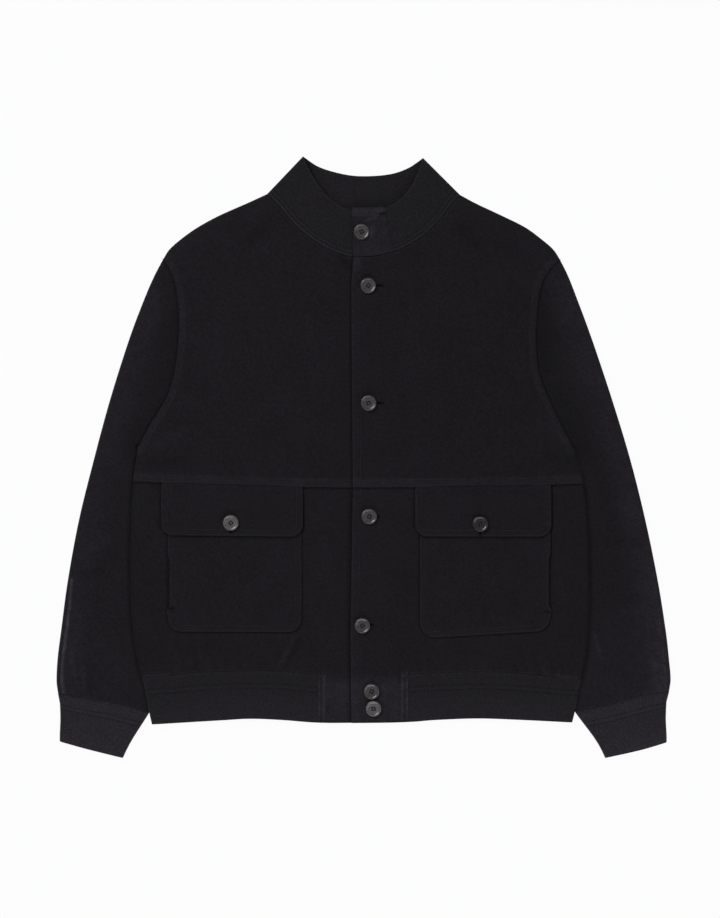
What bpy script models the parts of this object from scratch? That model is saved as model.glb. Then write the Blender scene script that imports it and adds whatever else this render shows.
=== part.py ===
"""A suede bomber jacket, buttoned up and laid flat on its back.

The tables are in millimetres and the objects in metres. +Z is up, +Y runs from the hem to the collar and
+X to the viewer's right, which is the wearer's left. The origin is at the middle of the footprint, on the
surface that the jacket lies on.

Each piece of cloth is a wall between two grids of points, its outer and its inner side. A panel's rows run
from the hem up and its columns from the side to the middle of the front. Panels that are sewn together
share the stations along their seam, and the later one stands back from it by the seam gap. At a folded
edge the top and the bottom layer each turn a quarter round and meet halfway up. The knit bands go round
their folds in one piece.
"""

import math

import bmesh
import bpy
import numpy as np
from mathutils import Vector
from mathutils.bvhtree import BVHTree

MM = 0.001

# Cloth thickness, and the gaps between pieces, in millimetres.
SUEDE = 2.4
KNIT = 3.0
PATCH = 1.8
SEAM_GAP = 0.3
SLEEVE_CLEARANCE = 0.8

# Heights above the surface: a flat stretch of the top layer, and the crest just inside a folded edge.
FLAT_TOP = 7.2
CREST_TOP = 8.7
CREST_WIDTH = 26.0
FOLD_REACH = 6.0
FOLD_MIDDLE = CREST_TOP / 2
KNIT_TOP = 7.0
KNIT_RADIUS = 4.0
KNIT_SETTLE = 60.0

# The closing: the right front ends under the left one, which steps up over it.
UNDER_EDGE_X = 26.0
UNDERLAP_TOP = 5.8
OVERLAP_TOP = UNDERLAP_TOP + SEAM_GAP + SUEDE
# From here on the left front slopes down beside the right one, and here the collar's suede tab ends.
LAP_END_X = 37.0
CLOSING_SLOPE = 18.0
# How far outside the left front's edge the right one is already down.
UNDERLAP_LEAD = 8.0
# The left front's edge at the middle: y, x.
CLOSING_EDGE = [
    (-331.0, -15.0), (-228.0, -16.4), (-130.0, -15.0), (-37.0, -13.4), (72.0, -14.4), (216.0, -15.4),
    (252.0, -12.5),
]
# The suede ends of the hem band reach out to these x.
BAND_END_X = {"right": -57.0, "left": 56.0}

# Outlines, with the columns x, y. "right" and "left" are the wearer's.
SHOULDER = {
    "right": [
        (-246.9, 248.7), (-228.0, 273.0), (-208.0, 288.0), (-180.6, 303.0), (-145.6, 318.5),
        (-120.5, 330.0),
    ],
    "left": [
        (239.4, 248.5), (222.0, 273.0), (202.0, 288.5), (171.9, 303.5), (141.0, 317.5), (119.4, 328.0),
    ],
}
ARMHOLE = {
    "right": [
        (-281.9, 13.7), (-270.5, 36.0), (-257.0, 58.0), (-245.5, 78.0), (-237.0, 106.0), (-232.5, 138.0),
        (-231.0, 172.0), (-233.5, 205.0), (-239.0, 228.0), (-246.9, 248.7),
    ],
    "left": [
        (261.9, 13.7), (250.0, 36.0), (239.0, 59.0), (229.0, 81.0), (219.5, 106.0), (216.0, 138.0),
        (216.5, 172.0), (220.0, 205.0), (227.5, 228.0), (239.4, 248.5),
    ],
}
BODY_SIDE = {
    "right": [
        (-264.6, -333.0), (-268.0, -318.0), (-270.6, -302.0), (-274.5, -283.0), (-281.5, -260.0),
        (-286.5, -232.0), (-290.4, -192.0), (-291.8, -130.0), (-290.4, -64.0), (-288.4, -30.0),
        (-285.5, -8.0), (-281.9, 13.7),
    ],
    "left": [
        (261.0, -330.5), (265.3, -313.0), (268.0, -296.0), (271.9, -279.0), (277.6, -256.0),
        (281.2, -229.0), (283.0, -184.0), (282.8, -124.0), (279.6, -64.0), (275.6, -31.0), (269.6, -9.0),
        (261.9, 13.7),
    ],
}
SLEEVE_OUTER = {
    "right": [
        (-380.4, -293.0), (-382.9, -276.0), (-382.0, -250.0), (-378.0, -215.0), (-369.4, -152.5),
        (-355.6, -77.5), (-336.9, -2.5), (-316.9, 72.5), (-293.1, 147.5), (-274.4, 197.5),
        (-260.6, 227.5), (-246.9, 248.7),
    ],
    "left": [
        (380.0, -290.0), (382.6, -274.0), (380.6, -250.0), (376.0, -215.0), (366.0, -152.5),
        (350.6, -77.5), (331.9, -2.5), (309.4, 72.5), (284.9, 147.5), (266.6, 197.5), (254.4, 227.5),
        (239.4, 248.5),
    ],
}
CUFF_SEAM = {
    "right": [
        (-380.4, -293.0), (-345.9, -301.0), (-309.4, -307.0), (-269.5, -318.0),
    ],
    "left": [
        (380.0, -290.0), (348.0, -297.0), (310.0, -308.0), (266.0, -317.0),
    ],
}
CUFF_EDGE = {
    "right": [
        (-378.6, -353.0), (-345.0, -363.0), (-300.8, -374.9),
    ],
    "left": [
        (376.6, -354.0), (345.0, -364.0), (302.0, -374.9),
    ],
}
CHEST_SEAM = [
    (-288.4, -29.5), (-210.0, -32.5), (-140.0, -35.0), (-15.0, -37.0), (134.0, -35.7), (204.0, -34.8),
    (275.7, -32.0),
]
BAND_SEAM = [
    (-277.4, -274.5), (-240.0, -272.0), (-198.0, -268.0), (-116.0, -266.5), (-57.0, -271.5),
    (0.0, -273.0), (56.0, -270.5), (110.0, -268.5), (157.0, -267.5), (204.0, -270.5), (272.1, -277.5),
]
HEM = [
    (-264.6, -333.0), (-179.4, -328.0), (-141.9, -326.0), (-101.9, -327.5), (-57.0, -330.8),
    (0.0, -331.0), (56.0, -330.0), (90.0, -327.5), (143.0, -325.6), (199.4, -327.5), (261.0, -330.5),
]
NECK_SEAM = {
    "right": [
        (-120.5, 330.0), (-106.0, 316.0), (-92.0, 299.0), (-75.0, 282.5), (-55.6, 268.5), (-34.5, 257.5),
        (-12.5, 252.0), (UNDER_EDGE_X, 252.0),
    ],
    "left": [
        (119.4, 328.0), (107.5, 315.0), (95.0, 298.0), (78.5, 281.5), (61.3, 269.5), (42.1, 260.0),
        (14.0, 253.0), (-12.5, 252.0),
    ],
}
COLLAR_TOP = {
    "right": [
        (-74.4, 375.0), (-63.5, 352.0), (-49.4, 332.5), (-35.6, 319.5), (-18.0, 311.0), (22.0, 310.0),
    ],
    "left": [
        (73.1, 373.4), (68.1, 357.0), (59.4, 339.6), (45.3, 322.5), (27.6, 312.0),
    ],
}
BACK_NECK = [
    (-120.5, 330.0), (-90.0, 315.5), (-45.0, 303.5), (0.0, 300.0), (45.0, 303.0), (90.0, 314.5),
    (119.4, 328.0),
]
COLLAR_BACK_TOP = [
    (-74.4, 375.0), (-54.4, 363.5), (-23.1, 354.6), (3.1, 352.5), (33.1, 355.0), (55.6, 362.5),
    (73.1, 373.4),
]

# The collar: how its fold opens from the seam to its edge, and its front's height there.
COLLAR_RADIUS = (4.1, 5.0)
COLLAR_FRONT_TOP = (FLAT_TOP, 9.2)
# The height of its right end, which lies under the left one, at the seam and at the edge.
COLLAR_UNDER_TOP = (UNDERLAP_TOP, 6.4)
COLLAR_OVER = {"right": 0.0, "left": SEAM_GAP + SUEDE}
# How far each end keeps its height, and how far on the collar has settled to its own.
COLLAR_END_KEPT = {"right": 44.0, "left": 4.0}
COLLAR_END_SLOPE = 40.0
COLLAR_TAB_UPPER_EDGE = [(27.0, 313.2), (-14.4, 312.8)]

# The seam where the left sleeve is pieced from two skins: y at its outer and inner end, and its row.
PIECING_Y = (-190.5, -194.0)
PIECING_ROW = 3
# A row across the sleeve that is narrower than this is divided as one of this width, in proportion.
NARROW_ROW = 40.0
# How fast the bow of the cuff's seam fades up the sleeve, and how far the sleeve's outer edge ends
# before the shoulder.
BOW_FADE = 3
SLEEVE_END_GAP = 0.45

# Pockets and their flaps: x of the outer and inner edge, y of the top and of the outer and inner lower
# corners, corner radius.
POCKET = {
    "right": (-244.4, -77.4, -54.0, -217.0, -217.6, 17.0),
    "left": (233.4, 70.4, -54.0, -217.0, -224.4, 19.0),
}
FLAP = {
    "right": (-252.6, -75.8, -35.0, -96.6, -98.2, 15.0),
    "left": (234.4, 64.4, -35.4, -98.2, -98.0, 15.0),
}
POCKET_PUFF = 1.3
POCKET_PUFF_REACH = 34.0
FLAP_LIFT_LENGTH = 14.0

# Buttons: name, x, y, the piece that each is on.
BUTTONS = [
    ("button_collar", -2.5, 282.5, "collar_tab"),
    ("button_front_1", 5.8, 215.2, "front_left_upper"),
    ("button_front_2", 6.4, 68.6, "front_left_upper"),
    ("button_front_3", 7.0, -73.0, "front_left_lower"),
    ("button_front_4", -1.6, -209.2, "front_left_lower"),
    ("button_hem_1", 10.0, -291.4, "front_left_lower"),
    ("button_hem_2", 12.4, -312.8, "front_left_lower"),
    ("button_pocket_right", -165.6, -80.8, "flap_right"),
    ("button_pocket_left", 145.4, -82.2, "flap_left"),
]
BUTTON_STAND = 0.4
# A button's turned profile from its foot's middle to its dish's middle: radius, height.
BUTTON_PROFILE = [(0.0, 0.0), (8.6, 0.0), (9.8, 1.3), (9.3, 2.9), (8.0, 3.1), (7.0, 2.2), (0.0, 2.0)]
BUTTON_SEGMENTS = 15
BUTTON_HOLE = {"radius": 0.95, "from_middle": 2.4, "sides": 5, "depth": 12.0}

# Soft troughs in the top layer: start x, y, end x, y, depth, half width.
TROUGHS = [
    (-239.0, 236.0, -246.0, 150.0, 1.1, 9.0),
    (-246.0, 150.0, -278.0, 60.0, 1.3, 9.0),
    (232.0, 236.0, 231.0, 150.0, 1.0, 9.0),
    (231.0, 150.0, 262.0, 60.0, 1.3, 9.0),
    (-85.0, -220.0, -109.0, -262.0, 1.1, 6.0),
    (-207.0, -238.0, -199.0, -262.0, 1.2, 5.5),
    (-233.0, -256.0, -236.0, -266.0, 0.9, 5.0),
    (148.0, -244.0, 155.0, -262.0, 1.2, 5.5),
    (190.0, -256.0, 193.0, -266.0, 0.9, 5.0),
    (225.0, -252.0, 222.0, -268.0, 0.9, 5.5),
]
DEEPEST_TROUGH = 1.4
# The swell of the cloth that a knit band gathers, and the dip at the band's seam.
GATHER = {
    "height": 1.1, "from_seam": 15.0, "width": 11.0, "wave": 46.0, "unevenness": 0.25,
    "seam_dip": 0.6, "dip_width": 4.0,
}

# How finely the seams are divided.
FOLD_STEPS = 3
ARC_STEPS = 3
SHOULDER_STEPS = 4
NECK_STEPS = 4
FRONT_STEPS = SHOULDER_STEPS + NECK_STEPS
CLOSING_STEPS = 2
NECK_TO_LAP = NECK_STEPS + CLOSING_STEPS
BAND_STEPS = 8
BACK_STEPS = 8
BELOW_CHEST_STEPS = 7
ABOVE_CHEST_STEPS = 2
ARMHOLE_STEPS = 8
SLEEVE_STEPS = 9
SLEEVE_COLUMNS = 5
BAND_END_STEPS = 2
PATCH_COLUMNS = 8
PATCH_ROWS = 6
CORNER_STEPS = 3
KNIT_ROWS = (0.005, 0.35, 0.68, 1.0)

# The way in from a fold is taken this share of a cell inside it, and along a seam that leans to it by more
# than this.
INSIDE_SHARE = 0.01
SEAM_LEAN = 0.7
SHARP_ANGLE = math.radians(45)

# A finish: colour, roughness, sheen.
FINISHES = {
    "suede": ((0.0118, 0.0107, 0.0130), 0.95, 0.3),
    "rib_knit": ((0.0150, 0.0140, 0.0160), 0.9, 0.2),
    "horn": ((0.0900, 0.0820, 0.0800), 0.35, 0.0),
}


# Lines

def mix(a, b, share):
    return a + (b - a) * share


def ease(t):
    t = np.clip(t, 0.0, 1.0)
    return t * t * (3 - 2 * t)


def unit(vectors):
    return vectors / np.maximum(np.linalg.norm(vectors, axis=-1, keepdims=True), 1e-9)


def smooth(points, per_span=16):
    """A Catmull-Rom curve through the points, as short chords."""
    p = np.asarray(points, float)
    p = np.vstack([2 * p[0] - p[1], p, 2 * p[-1] - p[-2]])
    t = np.linspace(0, 1, per_span, endpoint=False)[:, None]
    spans = [
        b + (c - a) * t / 2 + (2 * a - 5 * b + 4 * c - d) * t**2 / 2 + (3 * b - a - 3 * c + d) * t**3 / 2
        for a, b, c, d in zip(p, p[1:], p[2:], p[3:])
    ]
    return np.vstack([*spans, p[-2:-1]])


def lengths(line):
    return np.concatenate([[0.0], np.cumsum(np.linalg.norm(np.diff(line, axis=0), axis=1))])


def shares(line):
    s = lengths(line)
    return s / s[-1]


def along(line, distances):
    """The points of a line at these distances along it."""
    s = lengths(line)
    return np.stack([np.interp(distances, s, column) for column in line.T], 1)


def reach(line, column, value):
    """How far along a line one of its coordinates comes to a value."""
    order = np.argsort(line[:, column])
    return float(np.interp(value, line[order, column], lengths(line)[order]))


def like(line, pattern):
    """A line divided in a pattern's proportions."""
    return along(line, shares(pattern) * lengths(line)[-1])


def pinned(line, start, end):
    """A line moved so that it starts and ends at these points."""
    return line + mix((start - line[0])[None], (end - line[-1])[None], shares(line)[:, None])


def divided(line, start, end, steps, fold_start=False, fold_end=False):
    """The stations of a line between two distances: even, and closer where the cloth turns at a fold."""
    turn = FOLD_REACH * (1 - np.cos(np.linspace(0, math.pi / 2, FOLD_STEPS + 1)))
    first = start + turn if fold_start else np.array([start])
    last = end - turn[::-1] if fold_end else np.array([end])
    even = np.linspace(first[-1], last[0], steps + 1)
    return along(line, np.concatenate([first[:-1], even, last[1:]]))


def joined(*lines):
    """Lines that follow on each other as one, each shared point once."""
    return np.vstack([lines[0]] + [line[1:] for line in lines[1:]])


def closing_x(y):
    return np.interp(y, [y for y, _ in CLOSING_EDGE], [x for _, x in CLOSING_EDGE])


def filled(bottom, top, side, middle):
    """A grid between four edges that meet at its corners."""
    u = ((shares(bottom) + shares(top)) / 2)[None, :, None]
    v = ((shares(side) + shares(middle)) / 2)[:, None, None]
    across = mix(side[:, None], middle[:, None], u)
    up = mix(bottom[None], top[None], v)
    corners = mix(mix(bottom[0], bottom[-1], u), mix(top[0], top[-1], u), v)
    return across + up - corners


class Side:
    """The seams and folds of one side of the jacket, divided into the stations that its pieces share."""

    def __init__(self, name):
        self.name = name
        body = smooth(BODY_SIDE[name])
        tail = lengths(body)[-1]
        from_side = slice(None, None, 1 if name == "right" else -1)
        chest, band, hem = (smooth(table)[from_side] for table in (CHEST_SEAM, BAND_SEAM, HEM))
        at_band, at_chest = reach(body, 1, band[0, 1]), reach(body, 1, chest[0, 1])
        chest = pinned(chest, along(body, [at_chest])[0], chest[-1])
        band = pinned(band, along(body, [at_band])[0], band[-1])
        neck = smooth(NECK_SEAM[name])

        self.band_fold = divided(body, 0, at_band, len(KNIT_ROWS))
        self.below_chest = divided(body, at_band, at_chest, BELOW_CHEST_STEPS)
        self.above_chest = divided(body, at_chest, tail, ABOVE_CHEST_STEPS)
        self.armhole = self.whole(ARMHOLE[name], ARMHOLE_STEPS, True, True)
        self.shoulder = self.whole(SHOULDER[name], SHOULDER_STEPS, True)
        self.chest = self.across_front(chest)
        self.band = self.across_front(band)
        self.hem_at_closing = self.across_front(hem)[FOLD_STEPS + FRONT_STEPS :]
        lap = reach(neck, 0, closing_x(neck[-1, 1]) if name == "right" else LAP_END_X)
        to_lap = divided(neck, 0, lap, NECK_TO_LAP)
        self.neck = joined(to_lap, divided(neck, lap, lengths(neck)[-1], CLOSING_STEPS))
        self.sleeve_outer = smooth(SLEEVE_OUTER[name])
        self.sleeve_inner = self.sleeve_edge(body)
        self.folds = [
            joined(self.below_chest, self.above_chest),
            self.shoulder,
            self.sleeve_outer,
            self.sleeve_inner[: SLEEVE_STEPS + 1],
        ]

    @staticmethod
    def whole(table, steps, fold_start=False, fold_end=False):
        line = smooth(table)
        return divided(line, 0, lengths(line)[-1], steps, fold_start, fold_end)

    def end_x(self, y):
        """x where this side's front ends."""
        return UNDER_EDGE_X + 0 * y if self.name == "right" else closing_x(y)

    def lap_x(self, y):
        """x where the other side's front ends."""
        return closing_x(y) if self.name == "right" else UNDER_EDGE_X

    def across_front(self, line):
        """A seam's stations: from the side to the band's suede end, the other front's edge and this one's."""
        y = np.interp(0, *line[np.argsort(line[:, 0])].T)
        stops = [reach(line, 0, x) for x in (BAND_END_X[self.name], self.lap_x(y), self.end_x(y))]
        return joined(
            divided(line, 0, stops[0], FRONT_STEPS, True),
            divided(line, stops[0], stops[1], CLOSING_STEPS),
            divided(line, stops[1], stops[2], CLOSING_STEPS),
        )

    def sleeve_edge(self, body):
        """The sleeve's inner edge, close beside the body's side, and on up the armhole to the shoulder."""
        outward = np.array([-1.0 if self.name == "right" else 1.0, 0.0])
        start = reach(body, 1, CUFF_SEAM[self.name][-1][1])
        beside = divided(body, start, lengths(body)[-1], SLEEVE_STEPS) + outward * SLEEVE_CLEARANCE
        up_seam = self.armhole + outward * SEAM_GAP
        return np.vstack([beside[:-1], up_seam])


# Heights

def from_folds(xy, folds):
    """How far each point lies from the nearest folded edge, and which way leads from that edge to it."""
    start, end = (np.vstack([fold[part] for fold in folds]) for part in (slice(None, -1), slice(1, None)))
    chord = end - start
    offset = xy[..., None, :] - start
    share = np.clip((offset * chord).sum(-1) / (chord**2).sum(-1), 0, 1)
    offset = offset - share[..., None] * chord
    distance = np.linalg.norm(offset, axis=-1)
    nearest = distance.argmin(-1)[..., None]
    offset = np.take_along_axis(offset, nearest[..., None], -2)[..., 0, :]
    distance = np.take_along_axis(distance, nearest, -1)
    return distance[..., 0], offset / np.maximum(distance, 1e-9)


def quarter_turn(off):
    """How far a layer has come in its quarter turn, as a share, at a distance from the folded edge."""
    left = 1 - np.clip(off / FOLD_REACH, 0, 1)
    return np.sqrt(1 - left**2)


def trough_depth(xy):
    depth = np.zeros(xy.shape[:-1])
    for x0, y0, x1, y1, deep, half_width in TROUGHS:
        off = from_folds(xy, [np.array([(x0, y0), (x1, y1)])])[0]
        depth += deep * np.exp(-((off / half_width) ** 2))
    return np.minimum(depth, DEEPEST_TROUGH)


def gather_height(xy, seam):
    """The waves of cloth that a knit band gathers, and the dip at the seam itself."""
    off = from_folds(xy, [seam])[0]
    waves = 1 - GATHER["unevenness"] * (1 - np.cos(2 * math.pi * xy[..., 0] / GATHER["wave"]))
    swell = GATHER["height"] * waves * np.exp(-(((off - GATHER["from_seam"]) / GATHER["width"]) ** 2))
    return swell - GATHER["seam_dip"] * np.exp(-((off / GATHER["dip_width"]) ** 2))


def top_height(xy, off, gathered_at=None):
    """The top layer's outer side: halfway up at a folded edge, a soft crest inside it, then flat."""
    level = mix(FLAT_TOP, CREST_TOP, np.exp(-((np.maximum(off - FOLD_REACH, 0) / CREST_WIDTH) ** 2)))
    relief = -trough_depth(xy)
    if gathered_at is not None:
        relief += gather_height(xy, gathered_at)
    level = np.minimum(level + relief * ease(off / (2 * FOLD_REACH)), CREST_TOP)
    return mix(FOLD_MIDDLE + SEAM_GAP / 2, level, quarter_turn(off))


def under_height(off):
    """The bottom layer's outer side: flat on the surface, and halfway up at a folded edge."""
    return (FOLD_MIDDLE - SEAM_GAP / 2) * (1 - quarter_turn(off))


def closing_height(xy, height, side):
    """The fronts where they close: the right one sinks under the left one, which steps up over it."""
    if side.name == "right":
        from_edge = xy[..., 0] - closing_x(xy[..., 1]) + UNDERLAP_LEAD
        return mix(height, UNDERLAP_TOP, ease(from_edge / CLOSING_SLOPE + 1))
    return mix(OVERLAP_TOP, height, ease((xy[..., 0] - LAP_END_X) / CLOSING_SLOPE))


# Solids

def with_height(xy, z):
    return np.concatenate([xy, np.broadcast_to(z, xy.shape[:-1])[..., None]], -1)


def solid_between(name, outer, inner, finish, cells=None, wrap=False):
    """A closed body between two grids of points, where points of a grid that fall together are one."""
    rows, columns = outer.shape[:2]
    both = np.round(np.concatenate([outer, inner]).reshape(-1, 3), 4)
    points, ids = np.unique(both, axis=0, return_inverse=True)
    ids = ids.reshape(2, rows, columns)
    if wrap:
        ids = np.concatenate([ids, ids[:, :, :1]], 2)
    if cells is None:
        cells = np.ones((rows - 1, ids.shape[2] - 1), bool)

    def skin(grid):
        corners = zip(*np.nonzero(cells))
        return [(grid[r, c], grid[r, c + 1], grid[r + 1, c + 1], grid[r + 1, c]) for r, c in corners]

    over, under = skin(ids[0]), skin(ids[1])
    sides = {
        (face[k], face[k - 3]): (below[k], below[k - 3])
        for face, below in zip(over, under)
        for k in range(4)
    }
    rim = [(b, a, c, d) for (a, b), (c, d) in sides.items() if a != b and (b, a) not in sides]
    faces = [tuple(dict.fromkeys(face)) for face in over + [face[::-1] for face in under] + rim]
    mesh = bpy.data.meshes.new(name)
    mesh.from_pydata((points * MM).tolist(), [], [face for face in faces if len(face) > 2])
    return placed(name, facing_out(mesh), finish)


def facing_out(mesh):
    work = bmesh.new()
    work.from_mesh(mesh)
    bmesh.ops.delete(work, geom=[v for v in work.verts if not v.link_faces], context="VERTS")
    if work.calc_volume(signed=True) < 0:
        bmesh.ops.reverse_faces(work, faces=work.faces)
    work.to_mesh(mesh)
    work.free()
    mesh.shade_smooth()
    mesh.set_sharp_from_angle(angle=SHARP_ANGLE)
    return mesh


def placed(name, mesh, finish):
    thing = bpy.data.objects.new(name, mesh)
    bpy.context.scene.collection.objects.link(thing)
    if not mesh.materials:
        mesh.materials.append(material_of(name, finish))
    return thing


def material_of(name, finish):
    colour, roughness, sheen = FINISHES[finish]
    material = bpy.data.materials.new(f"{name} {finish}")
    material.use_nodes = True
    shader = material.node_tree.nodes["Principled BSDF"]
    shader.inputs["Base Color"].default_value = (*colour, 1)
    shader.inputs["Roughness"].default_value = roughness
    shader.inputs["Sheen Weight"].default_value = sheen
    return material


# Panels of suede

def turned_in(plan, folds):
    """A plan's distances from the folds, and the way in from them, also for its points on a fold.

    Where a seam across the panel meets a fold, the way in is along the seam."""
    off = from_folds(plan, folds)[0]
    near = plan.copy()
    near[:, 0] = mix(plan[:, 0], plan[:, 1], INSIDE_SHARE)
    near[:, -1] = mix(plan[:, -1], plan[:, -2], INSIDE_SHARE)
    near[-1] = mix(plan[-1], plan[-2], INSIDE_SHARE)
    way_in = from_folds(near, folds)[1]
    for row in (0, -1):
        seam = unit(np.gradient(plan[row], axis=0))
        lean = (seam * way_in[row]).sum(1, keepdims=True)
        way_in[row] = np.where(np.abs(lean) > SEAM_LEAN, seam * np.sign(lean), way_in[row])
    return off, way_in


def panel(name, plan, z, off, way_in, facing, cells=None):
    """A wall of suede over a plan. Its outer side faces up (1) or down (-1) and turns level at a fold."""
    rise = quarter_turn(off)
    inward = SUEDE * np.sqrt(1 - rise**2)
    inner = with_height(plan + way_in * inward[..., None], z - facing * SUEDE * rise)
    return solid_between(name, with_height(plan, z), inner, "suede", cells)


def front_middle(side, low, high, pattern):
    """The middle edge of a front between two of its corners."""
    y = mix(low[1], high[1], shares(pattern))
    line = np.stack([side.end_x(y), y], 1)
    line[0], line[-1] = low, high
    return line


def upper_front(side):
    edge = joined(side.above_chest, side.armhole)
    top = joined(side.shoulder, side.neck)
    plan = filled(side.chest, top, edge, front_middle(side, side.chest[-1], top[-1], edge))
    off, way_in = turned_in(plan, side.folds)
    z = closing_height(plan, top_height(plan, off), side)
    panel(f"front_{side.name}_upper", plan, z, off, way_in, 1)


def lower_front(side):
    """The lower front, in one piece with the suede end of the hem band."""
    middle = front_middle(side, side.band[-1], side.chest[-1], side.below_chest)
    main = filled(side.band, side.chest, side.below_chest, middle)
    main[-1, :, 1] -= SEAM_GAP
    first = FOLD_STEPS + FRONT_STEPS
    share = np.linspace(0, 1, BAND_END_STEPS, endpoint=False)[:, None, None]
    band_end = mix(side.hem_at_closing[None], main[:1, first:], share)
    beside = np.repeat(main[:1, :first], BAND_END_STEPS, axis=0)
    plan = np.concatenate([np.concatenate([beside, band_end], 1), main])
    cells = np.ones((len(plan) - 1, plan.shape[1] - 1), bool)
    cells[:BAND_END_STEPS, :first] = False
    off, way_in = turned_in(plan, side.folds)
    z = closing_height(plan, top_height(plan, off, side.band[: first + 1]), side)
    return panel(f"front_{side.name}_lower", plan, z, off, way_in, 1, cells)


def back(right, left):
    band = smooth(BAND_SEAM)
    steps = 2 * SHOULDER_STEPS + BACK_STEPS
    top = joined(right.shoulder, back_neck(), left.shoulder[::-1])
    edges = [joined(side.below_chest, side.above_chest, side.armhole) for side in (right, left)]
    bottom = pinned(divided(band, 0, lengths(band)[-1], steps, True, True), edges[0][0], edges[1][0])
    plan = filled(bottom, top, *edges)
    off, way_in = turned_in(plan, right.folds + left.folds)
    panel("back", plan, under_height(off), off, way_in, -1)


def back_neck():
    return Side.whole(BACK_NECK, BACK_STEPS)


def sleeve_plan(side):
    """Rows across the sleeve from its outer edge to its inner one, narrowing to a point at the shoulder."""
    inner = side.sleeve_inner
    outer = side.sleeve_outer
    outer = along(outer, shares(inner) * (lengths(outer)[-1] - SLEEVE_END_GAP))
    cuff = pinned(smooth(CUFF_SEAM[side.name]), outer[0], inner[0])
    narrow = np.array([(0.0, 0.0), (NARROW_ROW, 0.0)])
    rows = []
    for start, end in zip(outer[:-1], inner[:-1]):
        line = np.array([start, end])
        width = lengths(line)[-1]
        pattern = line if width > NARROW_ROW else narrow
        stations = divided(pattern, 0, lengths(pattern)[-1], SLEEVE_COLUMNS, True, True)
        rows.append(like(line, stations))
    bow = like(cuff, rows[0]) - rows[0]
    plan = np.array(rows)
    plan += bow * ((1 - np.linspace(0, 1, len(rows))) ** BOW_FADE)[:, None, None]
    return np.concatenate([plan, np.repeat(outer[-1:, None], plan.shape[1], 1)])


def pieced(plan, row):
    """The plan with one of its rows laid on the seam that joins the sleeve's two skins."""
    y = mix(*PIECING_Y, shares(plan[row]))
    columns = plan.transpose(1, 0, 2)
    x = [np.interp(level, column[:, 1], column[:, 0]) for level, column in zip(y, columns)]
    plan[row] = np.stack([x, y], 1)
    return plan


def sleeve(side):
    """The top sleeve, which on the left is pieced from two skins, and the under sleeve."""
    plan = sleeve_plan(side)
    if side.name == "left":
        plan = pieced(plan, PIECING_ROW)
    off, way_in = turned_in(plan, side.folds)
    way_in[-1] = way_in[-2, way_in.shape[1] // 2]
    z = top_height(plan, off, plan[0])
    name = f"sleeve_{side.name}"
    panel(f"{name}_under", plan, under_height(off), off, way_in, -1)
    if side.name == "right":
        panel(f"{name}_top", plan, z, off, way_in, 1)
        return
    lower, upper = slice(PIECING_ROW + 1), slice(PIECING_ROW, None)
    below = plan[lower].copy()
    below[-1, :, 1] -= SEAM_GAP
    panel(f"{name}_top_lower", below, z[lower], off[lower], way_in[lower], 1)
    panel(f"{name}_top_upper", plan[upper], z[upper], off[upper], way_in[upper], 1)


# Bands of knit

def half_turn(tip, front_way, back_way, radius, inset):
    """A band's turn over its fold, from the top layer down, in line with the back from halfway."""
    angle = np.linspace(math.pi / 2, -math.pi / 2, 2 * ARC_STEPS + 1)[:, None]
    way = unit(mix(front_way, back_way, np.minimum(1 - np.sin(angle), 1)))
    xy = tip + way * (radius - (radius - inset) * np.cos(angle))
    return with_height(xy, (radius + (radius - inset) * np.sin(angle))[:, 0])


def band_row(fronts, back_line, heights, radius, inset):
    """One row of a flattened band: along one front to its fold, round, along the back, round, and on.

    Each front starts at its fold, and the back runs from the first fold to the second."""
    turns = []
    for front, behind in zip(fronts, (back_line, back_line[::-1])):
        ways = unit(front[1] - front[0]), unit(behind[1] - behind[0])
        turns.append(half_turn(front[0], *ways, radius, inset))
    tops = [with_height(front[1:], z - inset) for front, z in zip(fronts, heights)]
    behind = with_height(back_line[1:-1], inset)
    return np.vstack([tops[0][::-1], turns[0], behind, turns[1][::-1], tops[1]])


def band(name, rows, wrap=False):
    """A band of knit from its rows, each of which is called with how far in from the outer side it lies."""
    outer, inner = (np.array([band_row(*row, inset) for row in rows]) for inset in (0.0, KNIT))
    return solid_between(name, outer, inner, "rib_knit", wrap=wrap)


def settled(front, radius, level):
    """A band's height from its fold on: a little proud, then settling to its level."""
    return mix(2 * radius, level, ease((lengths(front)[1:] - radius) / KNIT_SETTLE))


def cuff(side):
    """The cuff, a flattened tube, with the sleeve's stations outside its folds."""
    seam = sleeve_plan(side)[0]
    seam = np.vstack([seam[:1], seam[FOLD_STEPS:-FOLD_STEPS], seam[-1:]])
    rim = like(smooth(CUFF_EDGE[side.name]), seam)
    middle = len(seam) // 2
    rows = []
    for share in KNIT_ROWS:
        line = mix(seam, rim, share)
        fronts = [line[: middle + 1], line[:middle:-1]]
        heights = [settled(front, KNIT_RADIUS, KNIT_TOP) for front in fronts]
        rows.append((fronts, line, heights, KNIT_RADIUS))
    band(f"cuff_{side.name}", rows, wrap=True)


def hem_band(right, left):
    """The hem band, from the right front's suede end round the back to the left front's."""
    seam, hem = smooth(BAND_SEAM), smooth(HEM)
    rows = []
    for share in KNIT_ROWS:
        folds = [side.band_fold for side in (right, left)]
        tips = [along(fold, [(1 - share) * lengths(fold)[-1]])[0] for fold in folds]
        line = pinned(mix(seam, like(hem, seam), share), *tips)
        fronts = []
        for side, own in ((right, line), (left, line[::-1])):
            outward = -1 if side.name == "right" else 1
            end = reach(own, 0, BAND_END_X[side.name] + outward * SEAM_GAP)
            fronts.append(divided(own, 0, end, BAND_STEPS))
        heights = [settled(front, KNIT_RADIUS, KNIT_TOP) for front in fronts]
        back_line = divided(line, 0, lengths(line)[-1], 2 * BACK_STEPS)
        rows.append((fronts, back_line, heights, KNIT_RADIUS))
    band("hem_band", rows)


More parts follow.
